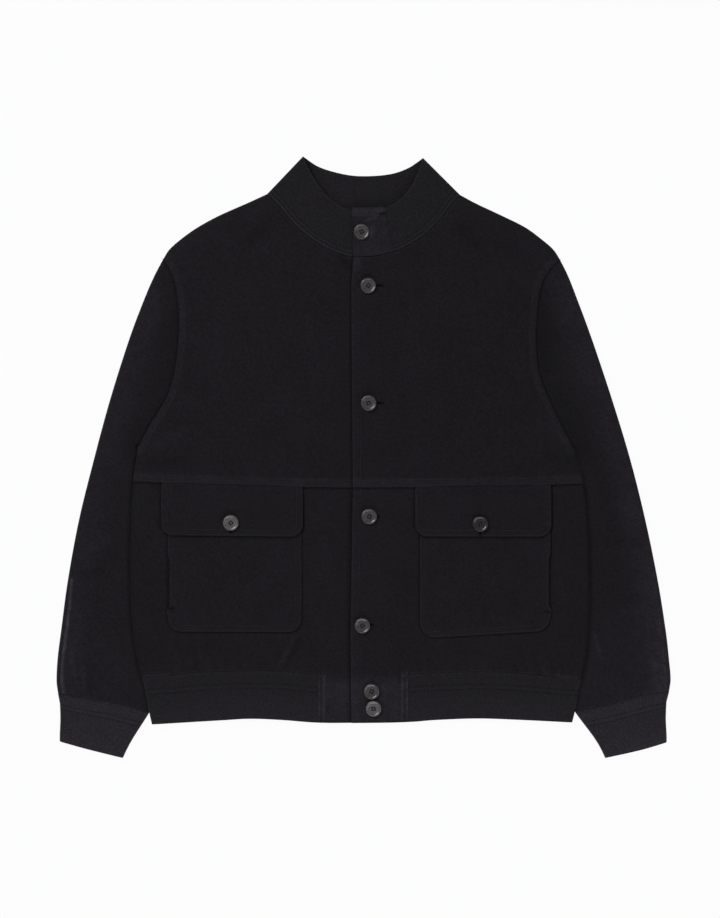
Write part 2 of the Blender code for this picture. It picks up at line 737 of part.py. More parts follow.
def collar_front(side):
    """The seam and the upper edge of one front of the collar, with the same stations."""
    seam = side.neck if side.name == "right" else side.neck[: NECK_TO_LAP + 1]
    return seam, like(smooth(COLLAR_TOP[side.name]), seam)


def collar(right, left):
    """The collar band, from its hidden right end round the back of the neck to the suede tab."""
    low, high = back_neck(), Side.whole(COLLAR_BACK_TOP, BACK_STEPS)
    edges = [(side, *collar_front(side)) for side in (right, left)]
    rows = []
    for share in KNIT_ROWS:
        radius = mix(*COLLAR_RADIUS, share)
        fronts, heights = [], []
        for side, seam, top in edges:
            front = mix(seam, top, share)
            from_end = lengths(front)[-1] - lengths(front)[1:]
            level = settled(front, radius, mix(*COLLAR_FRONT_TOP, share))
            fronts.append(front)
            end_level = mix(*COLLAR_UNDER_TOP, share) + COLLAR_OVER[side.name]
            risen = ease((from_end - COLLAR_END_KEPT[side.name]) / COLLAR_END_SLOPE)
            heights.append(mix(end_level, level, risen))
        rows.append((fronts, mix(low, high, share), heights, radius))
    band("collar_band", rows)


# Pieces that lie on others

def ground(*things):
    """A function of plan points that gives the height of these things' upper side under them."""
    graph = bpy.context.evaluated_depsgraph_get()
    trees = [BVHTree.FromObject(thing, graph) for thing in things]

    def height(xy):
        z = np.full(xy.shape[:-1], -np.inf)
        for place in np.ndindex(z.shape):
            start = Vector((*(xy[place] * MM), 1.0))
            hits = [tree.ray_cast(start, Vector((0, 0, -1)))[0] for tree in trees]
            z[place] = max((hit.z / MM for hit in hits if hit), default=-np.inf)
        return z

    return height


def patch_plan(outer, inner, top, low_outer, low_inner, corner):
    """A patch with two round lower corners, each of them shared between its two edges."""
    inward = math.copysign(1, inner - outer)
    bend = np.linspace(0, math.pi / 4, CORNER_STEPS + 1)

    def arc(x, y, way, angles):
        return np.stack([x + way * corner * (1 - np.cos(angles)), y + corner * (1 - np.sin(angles))], 1)

    side = np.vstack([arc(outer, low_outer, inward, bend[::-1]), [(outer, top)]])
    middle = np.vstack([arc(inner, low_inner, -inward, bend[::-1]), [(inner, top)]])
    low_bend = math.pi / 2 - bend
    low_middle = arc(inner, low_inner, -inward, low_bend)
    bottom = np.vstack([arc(outer, low_outer, inward, low_bend[::-1]), low_middle])
    upper = np.array([(outer, top), (inner, top)])
    rows, columns = (np.linspace(0, 1, steps + 1)[:, None] for steps in (PATCH_ROWS, PATCH_COLUMNS))
    side, middle = (like(line, rows) for line in (side, middle))
    bottom, upper = (like(line, columns) for line in (bottom, upper))
    return filled(bottom, upper, side, middle)


def pocket_puff(xy, name):
    """How far the pocket stands proud of its edges."""
    outer, inner, top, low_outer, low_inner, _ = POCKET[name]
    left, right = sorted((outer, inner))
    from_sides = np.minimum(xy[..., 0] - left, right - xy[..., 0])
    from_ends = xy[..., 1] - min(low_outer, low_inner)
    return POCKET_PUFF * ease(np.minimum(from_sides, from_ends) / POCKET_PUFF_REACH)


def patch(name, plan, z):
    return solid_between(name, with_height(plan, z), with_height(plan, z - PATCH), "suede")


def pocket(side, front):
    plan = patch_plan(*POCKET[side.name])
    z = ground(front)(plan) + SEAM_GAP + PATCH + pocket_puff(plan, side.name)
    patch(f"pocket_{side.name}", plan, z)


def flap(side, front):
    """The flap, held in the chest seam and lifted over the pocket's upper edge."""
    plan = patch_plan(*FLAP[side.name])
    chest = side.chest[np.argsort(side.chest[:, 0])]
    top = np.interp(plan[..., 0], *chest.T) - 2 * SEAM_GAP
    plan[-1, :, 1] = top[-1]
    lift = ease((top - plan[..., 1]) / FLAP_LIFT_LENGTH)
    z = ground(front)(plan) + (SEAM_GAP + PATCH) * (1 + lift) + pocket_puff(plan, side.name)
    return patch(f"flap_{side.name}", plan, z)


def collar_tab(left):
    """The suede end of the collar's left front, buttoned over the right one."""
    seam = left.neck[NECK_TO_LAP:].copy()
    seam[0] = along(seam, [SEAM_GAP])[0]
    upper = like(np.array(COLLAR_TAB_UPPER_EDGE), seam)
    share = np.array(KNIT_ROWS)[:, None]
    plan = mix(seam[None], upper[None], share[..., None])
    top = mix(*COLLAR_UNDER_TOP, share) + COLLAR_OVER["left"]
    outer, inner = (with_height(plan, top - inset) for inset in (0, SUEDE))
    return solid_between("collar_tab", outer, inner, "suede")


def button_mesh():
    """A turned button with a rim, a dish and four holes."""
    work = bmesh.new()
    profile = [work.verts.new((radius * MM, 0, z * MM)) for radius, z in BUTTON_PROFILE]
    edges = [work.edges.new(pair) for pair in zip(profile, profile[1:])]
    bmesh.ops.spin(
        work, geom=profile + edges, axis=(0, 0, 1), cent=(0, 0, 0),
        angle=2 * math.pi, steps=BUTTON_SEGMENTS, use_merge=True,
    )
    bmesh.ops.remove_doubles(work, verts=work.verts, dist=1e-6)
    bmesh.ops.recalc_face_normals(work, faces=work.faces)
    mesh = bpy.data.meshes.new("button")
    work.to_mesh(mesh)
    work.clear()
    for k in range(4):
        turn = math.pi / 4 + k * math.pi / 2
        cut = bmesh.ops.create_cone(
            work, cap_ends=True, segments=BUTTON_HOLE["sides"], depth=BUTTON_HOLE["depth"] * MM,
            radius1=BUTTON_HOLE["radius"] * MM, radius2=BUTTON_HOLE["radius"] * MM,
        )
        middle = Vector((math.cos(turn), math.sin(turn), 0)) * BUTTON_HOLE["from_middle"] * MM
        bmesh.ops.translate(work, verts=cut["verts"], vec=middle)
    holes = bpy.data.meshes.new("button holes")
    work.to_mesh(holes)
    work.free()
    return cut_by(mesh, holes)


def cut_by(mesh, cutter_mesh):
    blank, cutter = (bpy.data.objects.new("blank", data) for data in (mesh, cutter_mesh))
    for thing in (blank, cutter):
        bpy.context.scene.collection.objects.link(thing)
    boolean = blank.modifiers.new("holes", "BOOLEAN")
    boolean.operation = "DIFFERENCE"
    boolean.object = cutter
    made = bpy.data.meshes.new_from_object(blank.evaluated_get(bpy.context.evaluated_depsgraph_get()))
    for thing in (blank, cutter):
        bpy.data.objects.remove(thing)
    made.name = "button"
    made.materials.clear()
    made.shade_smooth()
    made.set_sharp_from_angle(angle=SHARP_ANGLE)
    return made


def buttons():
    mesh = button_mesh()
    mesh.materials.append(material_of("button", "horn"))
    foot = BUTTON_PROFILE[1][0] * np.array([(0, 0), (1, 0), (-1, 0), (0, 1), (0, -1)])
    for name, x, y, below in BUTTONS:
        around = np.array([(x, y)]) + foot
        top = ground(bpy.data.objects[below])(around).max()
        thing = placed(name, mesh, "horn")
        thing.location = (x * MM, y * MM, (top + BUTTON_STAND) * MM)


def centred():
    """Moves everything so that the middle of the footprint is at the origin."""
    bpy.context.view_layer.update()
    things = bpy.data.objects
    corners = np.array([thing.matrix_world @ Vector(each) for thing in things for each in thing.bound_box])
    middle = (corners.min(0) + corners.max(0)) / 2
    for thing in things:
        thing.location -= Vector((middle[0], middle[1], 0))


def main():
    for thing in list(bpy.data.objects):
        bpy.data.objects.remove(thing)
    right, left = Side("right"), Side("left")
    back(right, left)
    for side in (right, left):
        upper_front(side)
        front = lower_front(side)
        pocket(side, front)
        flap(side, front)
        sleeve(side)
        cuff(side)
    hem_band(right, left)
    collar(right, left)
    collar_tab(left)
    buttons()
    centred()


main()
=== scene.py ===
"""The looks of a suede bomber jacket, buttoned up and laid flat, seen from straight above.

The tables are in millimetres, as in the solids' source, and the objects in metres. +Z is up, +Y runs from
the hem to the collar and +X to the viewer's right, which is the wearer's left. Each piece of cloth is a thin
shell on its solid's form, with finer stations, and with the seams, stitching, gathers and creases on it.
"""

import math

import bmesh
import bpy
import numpy as np
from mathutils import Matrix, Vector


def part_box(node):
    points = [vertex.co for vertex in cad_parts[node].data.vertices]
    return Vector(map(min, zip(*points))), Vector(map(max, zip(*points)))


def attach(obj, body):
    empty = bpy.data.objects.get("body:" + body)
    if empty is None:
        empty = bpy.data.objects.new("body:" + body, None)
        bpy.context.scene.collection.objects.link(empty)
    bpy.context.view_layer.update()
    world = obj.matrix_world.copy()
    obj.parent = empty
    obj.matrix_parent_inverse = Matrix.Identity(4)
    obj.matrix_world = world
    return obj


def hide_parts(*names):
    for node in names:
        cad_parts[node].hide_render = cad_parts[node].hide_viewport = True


MM = 0.001
# The middle of the footprint in these tables, which is the origin of the frame.
CENTRE = np.array([-0.702, 0.05])

# Cloth thickness, and the gaps between pieces.
SUEDE = 2.4
KNIT = 3.0
PATCH = 1.8
SEAM_GAP = 0.1
SEAM_OPEN = 0.02
LAP_GAP = 0.3
# Below zero: the sleeves' inner edges reach into the body's rounded sides, so that no floor shows there.
SLEEVE_CLEARANCE = -0.35

# Heights above the surface: a flat stretch of the top layer, and the crest just inside a folded edge.
FLAT_TOP = 7.2
CREST_TOP = 8.7
CREST_WIDTH = 26.0
FOLD_REACH = 6.0
FOLD_MIDDLE = CREST_TOP / 2
KNIT_TOP = 7.0
KNIT_RADIUS = 4.0
KNIT_SETTLE = 60.0

# The closing: the right front ends under the left one, which steps up over it.
UNDER_EDGE_X = 26.0
UNDERLAP_TOP = 5.8
OVERLAP_TOP = UNDERLAP_TOP + LAP_GAP + SUEDE
LAP_END_X = 37.0
CLOSING_SLOPE = 18.0
UNDERLAP_LEAD = 8.0
CLOSING_EDGE = [
    (-331.0, -15.0), (-228.0, -16.4), (-130.0, -15.0), (-37.0, -13.4), (72.0, -14.4), (216.0, -15.4),
    (252.0, -12.5),
]
BAND_END_X = {"right": -57.0, "left": 56.0}

# Outlines, with the columns x, y. "right" and "left" are the wearer's.
SHOULDER = {
    "right": [
        (-250.4, 248.7), (-242.8, 260.6), (-229.0, 273.0), (-208.0, 288.0), (-180.6, 303.0),
        (-145.6, 318.5), (-120.5, 330.0),
    ],
    "left": [
        (245.4, 248.5), (237.4, 260.6), (223.2, 273.0), (202.0, 288.5), (171.9, 303.5), (141.0, 318.0),
        (120.6, 329.0),
    ],
}
ARMHOLE = {
    "right": [
        (-281.9, 13.7), (-270.5, 36.0), (-257.0, 58.0), (-245.5, 78.0), (-237.0, 106.0), (-232.5, 138.0),
        (-231.0, 172.0), (-233.5, 205.0), (-239.0, 228.0), (-250.4, 248.7),
    ],
    "left": [
        (261.9, 13.7), (250.0, 36.0), (239.0, 59.0), (229.0, 81.0), (219.5, 106.0), (216.0, 138.0),
        (216.5, 172.0), (220.0, 205.0), (228.0, 228.0), (245.4, 248.5),
    ],
}
BODY_SIDE = {
    "right": [
        (-264.6, -333.0), (-268.0, -318.0), (-270.6, -302.0), (-274.5, -283.0), (-281.5, -260.0),
        (-286.5, -232.0), (-290.4, -192.0), (-291.8, -130.0), (-290.4, -64.0), (-288.4, -30.0),
        (-285.5, -8.0), (-281.9, 13.7),
    ],
    "left": [
        (261.0, -330.5), (265.3, -313.0), (268.0, -296.0), (271.9, -279.0), (277.6, -256.0),
        (281.2, -229.0), (283.0, -184.0), (282.8, -124.0), (279.6, -64.0), (275.6, -31.0), (269.6, -9.0),
        (261.9, 13.7),
    ],
}
SLEEVE_OUTER = {
    "right": [
        (-382.0, -293.0), (-383.8, -278.0), (-382.4, -250.0), (-378.0, -215.0), (-369.6, -152.5),
        (-355.8, -77.5), (-337.3, -2.5), (-317.0, 72.5), (-293.3, 147.5), (-274.6, 197.5),
        (-261.6, 227.5), (-250.4, 248.7),
    ],
    "left": [
        (382.2, -290.0), (384.0, -276.0), (381.8, -250.0), (377.8, -215.0), (367.8, -152.5),
        (352.4, -77.5), (333.7, -2.5), (311.0, 72.5), (286.0, 147.5), (267.6, 197.5), (255.8, 227.5),
        (245.4, 248.5),
    ],
}
CUFF_SEAM = {
    "right": [(-382.0, -293.0), (-345.9, -301.0), (-309.4, -307.0), (-269.5, -318.0)],
    "left": [(382.2, -290.0), (348.0, -297.0), (310.0, -308.0), (266.0, -317.0)],
}
CUFF_EDGE = {
    "right": [(-379.8, -354.2), (-345.0, -364.0), (-300.8, -374.9)],
    "left": [(379.0, -355.4), (345.0, -365.4), (302.0, -374.9)],
}
CHEST_SEAM = [
    (-288.4, -29.5), (-210.0, -32.5), (-140.0, -35.0), (-15.0, -37.0), (134.0, -35.7), (204.0, -34.8),
    (275.7, -32.0),
]
BAND_SEAM = [
    (-277.4, -274.5), (-240.0, -272.0), (-198.0, -268.0), (-116.0, -266.5), (-57.0, -271.5),
    (0.0, -273.0), (56.0, -270.5), (110.0, -268.5), (157.0, -267.5), (204.0, -270.5), (272.1, -277.5),
]
HEM = [
    (-264.6, -333.0), (-179.4, -328.0), (-141.9, -326.0), (-101.9, -327.5), (-57.0, -330.8),
    (0.0, -331.0), (56.0, -330.0), (90.0, -327.5), (143.0, -325.6), (199.4, -327.5), (261.0, -330.5),
]
NECK_SEAM = {
    "right": [
        (-120.5, 330.0), (-106.0, 316.0), (-92.0, 299.0), (-75.0, 282.5), (-55.6, 268.5), (-34.5, 257.5),
        (-12.5, 252.0), (UNDER_EDGE_X, 252.0),
    ],
    "left": [
        (120.6, 329.0), (108.0, 315.0), (95.0, 298.0), (78.5, 281.5), (61.3, 269.5), (42.1, 260.0),
        (14.0, 253.0), (-12.5, 252.0),
    ],
}
COLLAR_TOP = {
    "right": [(-75.6, 377.0), (-63.5, 352.0), (-49.4, 332.5), (-35.6, 319.5), (-18.0, 311.0), (22.0, 310.0)],
    "left": [(74.4, 375.0), (68.1, 357.0), (59.4, 339.6), (45.3, 322.5), (27.6, 312.0)],
}
BACK_NECK = [
    (-120.5, 330.0), (-90.0, 315.5), (-45.0, 303.5), (0.0, 300.0), (45.0, 303.0), (90.0, 314.5),
    (120.6, 329.0),
]
COLLAR_BACK_TOP = [
    (-75.6, 377.0), (-54.4, 363.5), (-23.1, 354.6), (3.1, 352.5), (33.1, 355.0), (55.6, 362.5),
    (74.4, 375.0),
]

# The collar: how its fold opens from the seam to its edge, its front's height there, and that of its right
# end, which lies under the left one.
COLLAR_RADIUS = (4.1, 5.0)
COLLAR_FRONT_TOP = (FLAT_TOP, 9.2)
COLLAR_UNDER_TOP = (UNDERLAP_TOP, 6.4)
COLLAR_OVER = {"right": 0.0, "left": LAP_GAP + SUEDE}
COLLAR_END_KEPT = {"right": 44.0, "left": 4.0}
COLLAR_END_SLOPE = 40.0
COLLAR_TAB_UPPER_EDGE = [(27.0, 313.2), (-14.4, 312.8)]
# y where the suede end has the height of its lower and of its upper edge, and its steps across and its rows.
COLLAR_TAB_Y = (252.0, 313.0)
COLLAR_TAB_STEPS = (50, 61)

# The seam where the left sleeve is pieced from two skins: y at its outer and inner end, its row, how many
# rows above it are moved with it, and its last station that shows as a seam.
PIECING_Y = (-190.5, -194.0)
PIECING_ROW, PIECING_FADE, PIECING_SHOWN = 18, 22, 20
# Rows of a sleeve shorter than this are divided as one of this length. The cuff seam's bow fades up the
# sleeve by this power, and the outer edge ends this far short of the shoulder's corner.
NARROW_ROW = 40.0
BOW_FADE = 3
SLEEVE_END_GAP = 0.05

# Pockets and their flaps: x of the outer and inner edge, y of the top and of the outer and inner lower
# corners, corner radius.
POCKET = {
    "right": (-244.4, -77.4, -54.0, -217.0, -217.6, 17.0),
    "left": (233.4, 70.4, -54.0, -217.0, -224.4, 19.0),
}
FLAP = {
    "right": (-252.6, -75.8, -35.0, -96.6, -98.2, 15.0),
    "left": (234.4, 64.4, -35.4, -98.2, -98.0, 15.0),
}
# How far a pocket stands proud of its edges, how far in from them, how much of a crease shows on it, and
# over which length a flap is lifted over the pocket's upper edge.
POCKET_PUFF = 1.3
POCKET_PUFF_REACH = 34.0
POCKET_CREASED = 0.6
FLAP_LIFT_LENGTH = 14.0

# Buttons, each on its solid's place: name, turn and tilt in degrees.
BUTTONS = [
    ("collar", 20, 4), ("front_1", 55, 2), ("front_2", 10, -2), ("front_3", 75, 1), ("front_4", 30, 2),
    ("hem_1", 65, -1), ("hem_2", 5, 1), ("pocket_right", 40, 1), ("pocket_left", 15, -1),
]
# How far a button's threads are turned against the button, in degrees.
THREAD_TURN = 45

# Soft troughs in the top layer that the solids have too: start x, y, end x, y, depth, half width.
TROUGHS = [
    (-239.0, 236.0, -246.0, 150.0, 1.1, 9.0),
    (-246.0, 150.0, -278.0, 60.0, 1.3, 9.0),
    (232.0, 236.0, 231.0, 150.0, 1.0, 9.0),
    (231.0, 150.0, 262.0, 60.0, 1.3, 9.0),
    (-85.0, -220.0, -109.0, -262.0, 1.1, 6.0),
    (-207.0, -238.0, -199.0, -262.0, 1.2, 5.5),
    (-233.0, -256.0, -236.0, -266.0, 0.9, 5.0),
    (148.0, -244.0, 155.0, -262.0, 1.2, 5.5),
    (190.0, -256.0, 193.0, -266.0, 0.9, 5.0),
    (225.0, -252.0, 222.0, -268.0, 0.9, 5.5),
]
DEEPEST_TROUGH = 1.4
GATHER = {
    "height": 1.1, "from_seam": 15.0, "width": 11.0, "wave": 46.0, "unevenness": 0.25,
    "seam_dip": 0.6, "dip_width": 4.0,
}

# Rows of stitching: how far each lies from its seam or edge, and the dip that a row makes.
CHEST_ROWS = (2.2, 9.4)
ARMHOLE_ROWS = (2.0, 8.0)
EDGE_ROWS = (2.6, 10.0)
PATCH_EDGE_ROWS = (1.9, 7.8)
BAND_END_ROWS = {"right": (4.5, 10.0), "left": (3.6, 10.0)}
NECK_ROW = 2.6
BAND_ROW = 2.4
TAB_ROW = 2.4
ROW_DIP = 0.42
ROW_WIDTH = 1.0
# How far the upper front's edge is lifted by the flap under it, and the half width and end of that lift.
FLAP_UNDER_LIP, FLAP_UNDER_WIDTH, FLAP_UNDER_END = 2.2, 9.0, 6.0
# The sleeve's seam beside its outer fold: y of its upper end, how far in from the fold it lies below and
# above, and from which y to which length it changes over.
SLEEVE_SEAM_TOP = -100.0
SLEEVE_SEAM_INSET = (8.0, 4.5)
SLEEVE_SEAM_SHIFT = (-190.0, 60.0)

# A stitch: its pitch, its length and its half width; and its rings: place along it, size, and rise off the
# cloth.
STITCH = {"pitch": 3.5, "length": 2.5, "half_width": 0.32}
STITCH_RINGS = [(-1, 0, -0.12), (-0.72, 0.8, 0.0), (0, 1, 0.14), (0.72, 0.8, 0.0), (1, 0, -0.12)]
# How many of the hem seam's stations are lit beside each of the jacket's sides.
LIT_SEAM_STATIONS = 14
# A bar tack's stitches: pitch, half length, and lift off the cloth.
TACK = {"pitch": 0.55, "half": 1.4, "lift": 0.2}
# A buttonhole: its welts' stitches, how far the welts lie from the slit, and the bars at its ends.
WELT = {"pitch": 0.6, "half": 0.7, "lift": 0.1, "from_slit": 1.3}
HOLE_BAR = {"half_width": 1.4, "stitches": 6, "half": 0.8, "beyond": 0.5}
HOLE_SLIT = {"half_width": 0.62, "thick": 0.3, "stations": 9, "end": 0.02}
# Stitches keep this far from a folded edge.
STITCH_FREE = 4.0

# The look of each seam and edge: its valley (depth, half width), the lip beside it (height, reach, softness)
# and the painted light and shade there (change, reach, softness): above zero a painted highlight, below zero
# painted shade.
SEAM_LOOKS = {
    "upper_chest": ((0.5, 0.6), (0.45, 10.0, 5.0), [(0.2, 9.6, 3.0)]),
    "upper_armhole": ((1.1, 1.5), (0.35, 8.5, 2.5), [(0.16, 8.2, 2.5)]),
    "shoulder": (None, None, [(0.12, 6.0, 22.0)]),
    "neck": ((0.8, 1.2), None, []),
    "closing_edge": ((0.6, 0.8), None, [(0.12, 10.0, 2.0), (0.35, 1.2, 1.4)]),
    "under_closing": (None, None, [(-0.5, 0.4, 3.5)]),
    "closing_top_left": (None, None, [(0.5, 3.5, 3.0)]),
    "closing_top_right": (None, None, [(-0.3, 2.0, 5.0)]),
    "lower_chest": ((0.75, 2.0), None, [(-0.42, 0.5, 3.0)]),
    "body_side": (None, None, [(-0.3, 1.0, 5.0)]),
    "beside_patch": (None, None, [(-0.4, 0.2, 3.2)]),
    "band_seam": ((0.8, 1.0), None, [(0.22, 1.6, 1.2)]),
    "band_seam_end": (None, None, [(0.45, 1.0, 1.6)]),
    "lower_closing": (None, None, [(0.06, 34.0, 34.0)]),
    "band_end": ((0.6, 0.8), None, []),
    "band_end_row": (None, None, [(0.6, 0.6, 0.9)]),
    "hem": ((1.0, 1.2), None, [(0.68, 46.0, 18.0)]),
    "sleeve_armhole": ((1.2, 2.0), None, [(-0.22, 3.0, 34.0)]),
    "sleeve_inner": (None, None, [(-0.4, 1.0, 5.0)]),
    "sleeve_outer_right": (None, None, [(0.38, 6.0, 40.0)]),
    "sleeve_outer_left": (None, None, [(0.6, 6.0, 40.0)]),
    "sleeve_end_right": (None, None, [(0.12, 50.0, 110.0)]),
    "sleeve_end_left": (None, None, [(0.24, 50.0, 110.0)]),
    "sleeve_rim_right": (None, None, [(1.75, 0.7, 1.8)]),
    "sleeve_rim_left": (None, None, [(0.2, 0.7, 1.8)]),
    "sleeve_seam": ((0.5, 1.3), (0.3, 2.0, 1.5), []),
    "cuff_seam": ((0.5, 0.8), None, [(0.15, 1.6, 1.2)]),
    "piecing": ((0.25, 1.2), None, [(0.2, 1.0, 2.5)]),
    "patch_edge": ((0.7, 0.7), None, [(0.08, 7.4, 2.0), (0.05, 90.0, 10.0), (0.32, 1.0, 1.2)]),
    "under_flap": (None, None, [(-0.6, 1.0, 3.4)]),
    "tab_edge": ((0.5, 0.8), None, []),
    "tab_top": (None, None, [(0.45, 8.0, 12.0)]),
    "tab_foot": (None, None, [(0.5, 60.0, 10.0)]),
}
# Where the closing's upper end is painted lighter on the left front and painted darker, as painted shade, on
# the right one.
CLOSING_TOP = {"right": [(-27.0, 252.0), (-19.0, 240.0)], "left": [(-9.5, 250.0), (-9.5, 238.0)]}
# How far from the hem band's end its lit lines lie, how far its rows run on above the band's seam and in how
# many stations, and how far the lit stretch at its sides lies from that seam.
BAND_END_LIT = {"right": (1.3, 7.6), "left": (1.4, 7.6)}
BAND_END_BEYOND, BAND_END_STATIONS = 3.0, 20
BAND_SEAM_LIT = 2.0
# The painted highlight along each sleeve's seam: y of its upper end, and how far it lies from the seam.
SLEEVE_RIM_TOP = {"right": -150.0, "left": -40.0}
SLEEVE_RIM_BESIDE = 0.8

# Knit: the ribs' pitch and half height, the tucks' depth and half width, and the rounding of its edges:
# depth, half width, and the share of it at the seam.
RIB_PITCH = 2.5
RIB_HEIGHT = 0.2
TUCK_DEPTH = 0.7
TUCK_WIDTH = 0.9
EDGE_ROUND, EDGE_WIDTH = 0.9, 1.2
SEAM_ROUND_SHARE = 0.8
# The ribs' height where a band stands upright, as a share, and over which width they fade at its free edge.
RIB_UPRIGHT, RIB_END = 0.3, 2.0
# Rows across a band: it starts a little before its seam, so that no floor shows in it, with closer rows at
# its edges and about its tucks, and even ones between.
BAND_START = -0.1
EDGE_ROWS_AT = (1.2, 2.4)
TUCK_ROWS_AT = (-1.6, -0.8, 0.0, 0.8, 1.6)
EVEN_ROWS = {"first": 6.0, "from_edge": 5.0, "pitch": 8.0, "apart": 1.6}
HEM_DEPTH, HEM_TUCKS = 56.0, (14.5, 20.0)
HEM_FRONT_LENGTH, HEM_BACK_LENGTH = 218, 546
CUFF_DEPTH, CUFF_TUCKS = 54.0, (12.5, 17.0)
# How far each cuff's inner edge is drawn in at most, and the power that puts this nearer the rim. Its outer
# edge is drawn in below the seam: how far, and the shares of the depth where that is full, starts to go, and
# over which it goes.
CUFF_BOW = {"right": 1.5, "left": 2.6}
CUFF_BOW_POWER = 1.5
CUFF_STEP = {"right": 2.0, "left": 2.8}
CUFF_STEP_COMES, CUFF_STEP_STAYS, CUFF_STEP_GOES = 0.25, 0.45, 0.55
COLLAR_DEPTH, COLLAR_TUCKS = 62.0, (4.6, 9.2)

# Painted light and shade on the suede and the knit: the change for each millimetre of relief and its limits,
# which paint ridges lighter and hollows darker, the painted shade in a tuck, and the bands' painted lighter
# and darker lines (distance from the seam, change, half width).
PAINTED_RELIEF_SHADE = 0.4
PAINTED_RELIEF_SHADE_LIMITS = (0.62, 1.4)
TUCK_SHADE = 0.3
HEM_PAINTED_LIGHT = [(0.5, 0.35, 1.6), (17.2, 0.12, 2.0), (56.0, 0.33, 34.0)]
CUFF_PAINTED_LIGHT = [(20.0, 0.72, 90.0), (54.0, 0.2, 16.0), (0.0, -0.15, 2.0), (6.0, 0.1, 9.0), (14.8, 0.14, 1.6)]
COLLAR_PAINTED_LIGHT = [(1.6, 0.55, 1.3), (6.9, 0.35, 1.5), (62.0, 0.5, 1.6)]
# Puckers beside a gathered seam: wave length, height, and how far they run. They lean, bunch and swell
# unevenly: the lean, the bunching waves (height, length, start), the swelling (mean, share, length, start)
# and how far from the seam they reach their full height.
BODY_PUCKERS = (15.0, 0.42, 16.0)
CUFF_PUCKERS = (9.0, 0.5, 14.0)
PUCKER_LEAN = 0.25
PUCKER_BUNCHES = [(1.7, 21.0, 0.0), (0.9, 8.7, 2.0)]
PUCKER_SWELL = (0.65, 0.35, 33.0, 1.0)
PUCKER_START = 3.0

# Broad swells of the top layer: cosines with their rate along x and y, their start and half height. The
# sleeves swell more by this factor.
DRAPES = [
    (0.021, 0.013, 0.4, 0.16), (-0.013, 0.024, 1.9, 0.15), (0.034, -0.019, 3.1, 0.09),
    (0.017, 0.041, 5.0, 0.08),
]
SLEEVE_DRAPE = 1.2

# Fine creases: start x, y, end x, y, height of the ridge or depth of the trough, half width.
CREASES = [
    (-366.0, -232.0, -360.0, -286.0, 0.6, 3.0),
    (-344.0, -262.0, -338.0, -296.0, -0.35, 3.6),
    (-351.0, -258.0, -347.0, -292.0, 0.7, 2.6),
    (-325.0, -276.0, -318.0, -300.0, 0.6, 2.6),
    (356.0, -262.0, 352.0, -292.0, -0.35, 3.6),
    (366.0, -250.0, 362.0, -286.0, 0.6, 2.6),
    (340.0, -270.0, 336.0, -296.0, 0.6, 2.6),
    (-83.0, -218.0, -109.0, -266.0, 0.9, 3.0),
    (-78.0, -222.0, -100.0, -266.0, -0.7, 3.0),
    (-207.0, -236.0, -200.0, -266.0, 0.6, 2.2),
    (-234.0, -258.0, -237.0, -270.0, 0.5, 2.0),
    (-209.0, -256.0, -213.0, -268.0, -0.6, 2.2),
    (148.0, -252.0, 155.0, -271.0, 0.6, 2.2),
    (189.0, -256.0, 192.0, -269.0, -0.6, 2.2),
    (226.0, -254.0, 224.0, -270.0, 0.5, 2.2),
    (286.0, -212.0, 299.0, -256.0, 1.1, 2.6),
    (-268.0, 12.0, -215.0, 40.0, 0.5, 7.0),
    (-275.0, -8.0, -225.0, -2.0, -0.5, 6.0),
    (258.0, 18.0, 212.0, 50.0, 0.5, 7.0),
    (268.0, -4.0, 222.0, 4.0, -0.5, 6.0),
    (-352.0, -120.0, -310.0, -98.0, 0.5, 6.0),
    (-360.0, -150.0, -318.0, -140.0, -0.5, 6.0),
    (345.0, -70.0, 305.0, -52.0, 0.5, 6.0),
    (352.0, -108.0, 312.0, -100.0, -0.5, 6.0),
    (-110.0, 300.0, -150.0, 262.0, -0.45, 9.0),
    (112.0, 296.0, 150.0, 258.0, -0.45, 9.0),
]
# Between which shares of its length a crease is at its full height, and over which share it fades.
CREASE_FULL, CREASE_FADE = (0.18, 0.82), 0.18

# How finely the seams are divided.
FOLD_STEPS = 7
SHOULDER_STEPS = 24
NECK_STEPS = 24
FRONT_STEPS = SHOULDER_STEPS + NECK_STEPS
CLOSING_STEPS = 6
NECK_TO_LAP = NECK_STEPS + CLOSING_STEPS
BACK_STEPS = 30
BELOW_CHEST_STEPS = 52
ABOVE_CHEST_STEPS = 12
ARMHOLE_STEPS = 42
SLEEVE_STEPS = 54
SLEEVE_COLUMNS = 20
BAND_END_STEPS = 14
# Where the cells are divided further: first and end cell, and how many parts each. The lower front's start
# after its suede end's rows.
UPPER_FINER_ROWS = [(0, 4, 4), (4, None, 2)]
UPPER_FINER_COLUMNS = [(FOLD_STEPS, FOLD_STEPS + 3, 4), (FOLD_STEPS + 3, -3, 2), (-3, None, 6)]
LOWER_FINER_ROWS = [(BAND_END_STEPS, BAND_END_STEPS + 3, 4), (BAND_END_STEPS + 3, -2, 2), (-2, None, 4)]
FRONT_END = FOLD_STEPS + FRONT_STEPS
LOWER_FINER_COLUMNS = [(FOLD_STEPS, FRONT_END, 2), (FRONT_END, FRONT_END + 2, 5), (-3, None, 6)]
SLEEVE_FINER = (FOLD_STEPS, FOLD_STEPS + SLEEVE_COLUMNS, 3)
SLEEVE_FINER_ROWS = {
    "top": [(0, 3, 4), (3, -1, 2)],
    "top_lower": [(0, 3, 4), (3, -2, 2), (-2, None, 4)],
    "top_upper": [(0, 2, 4), (2, -1, 2)],
}
PATCH_FINER_ROWS = [(0, 5, 2)]
PATCH_FINER_COLUMNS = [(0, 5, 2), (-5, None, 2)]
ARC_STEPS = 9
KNIT_STEP = 0.62
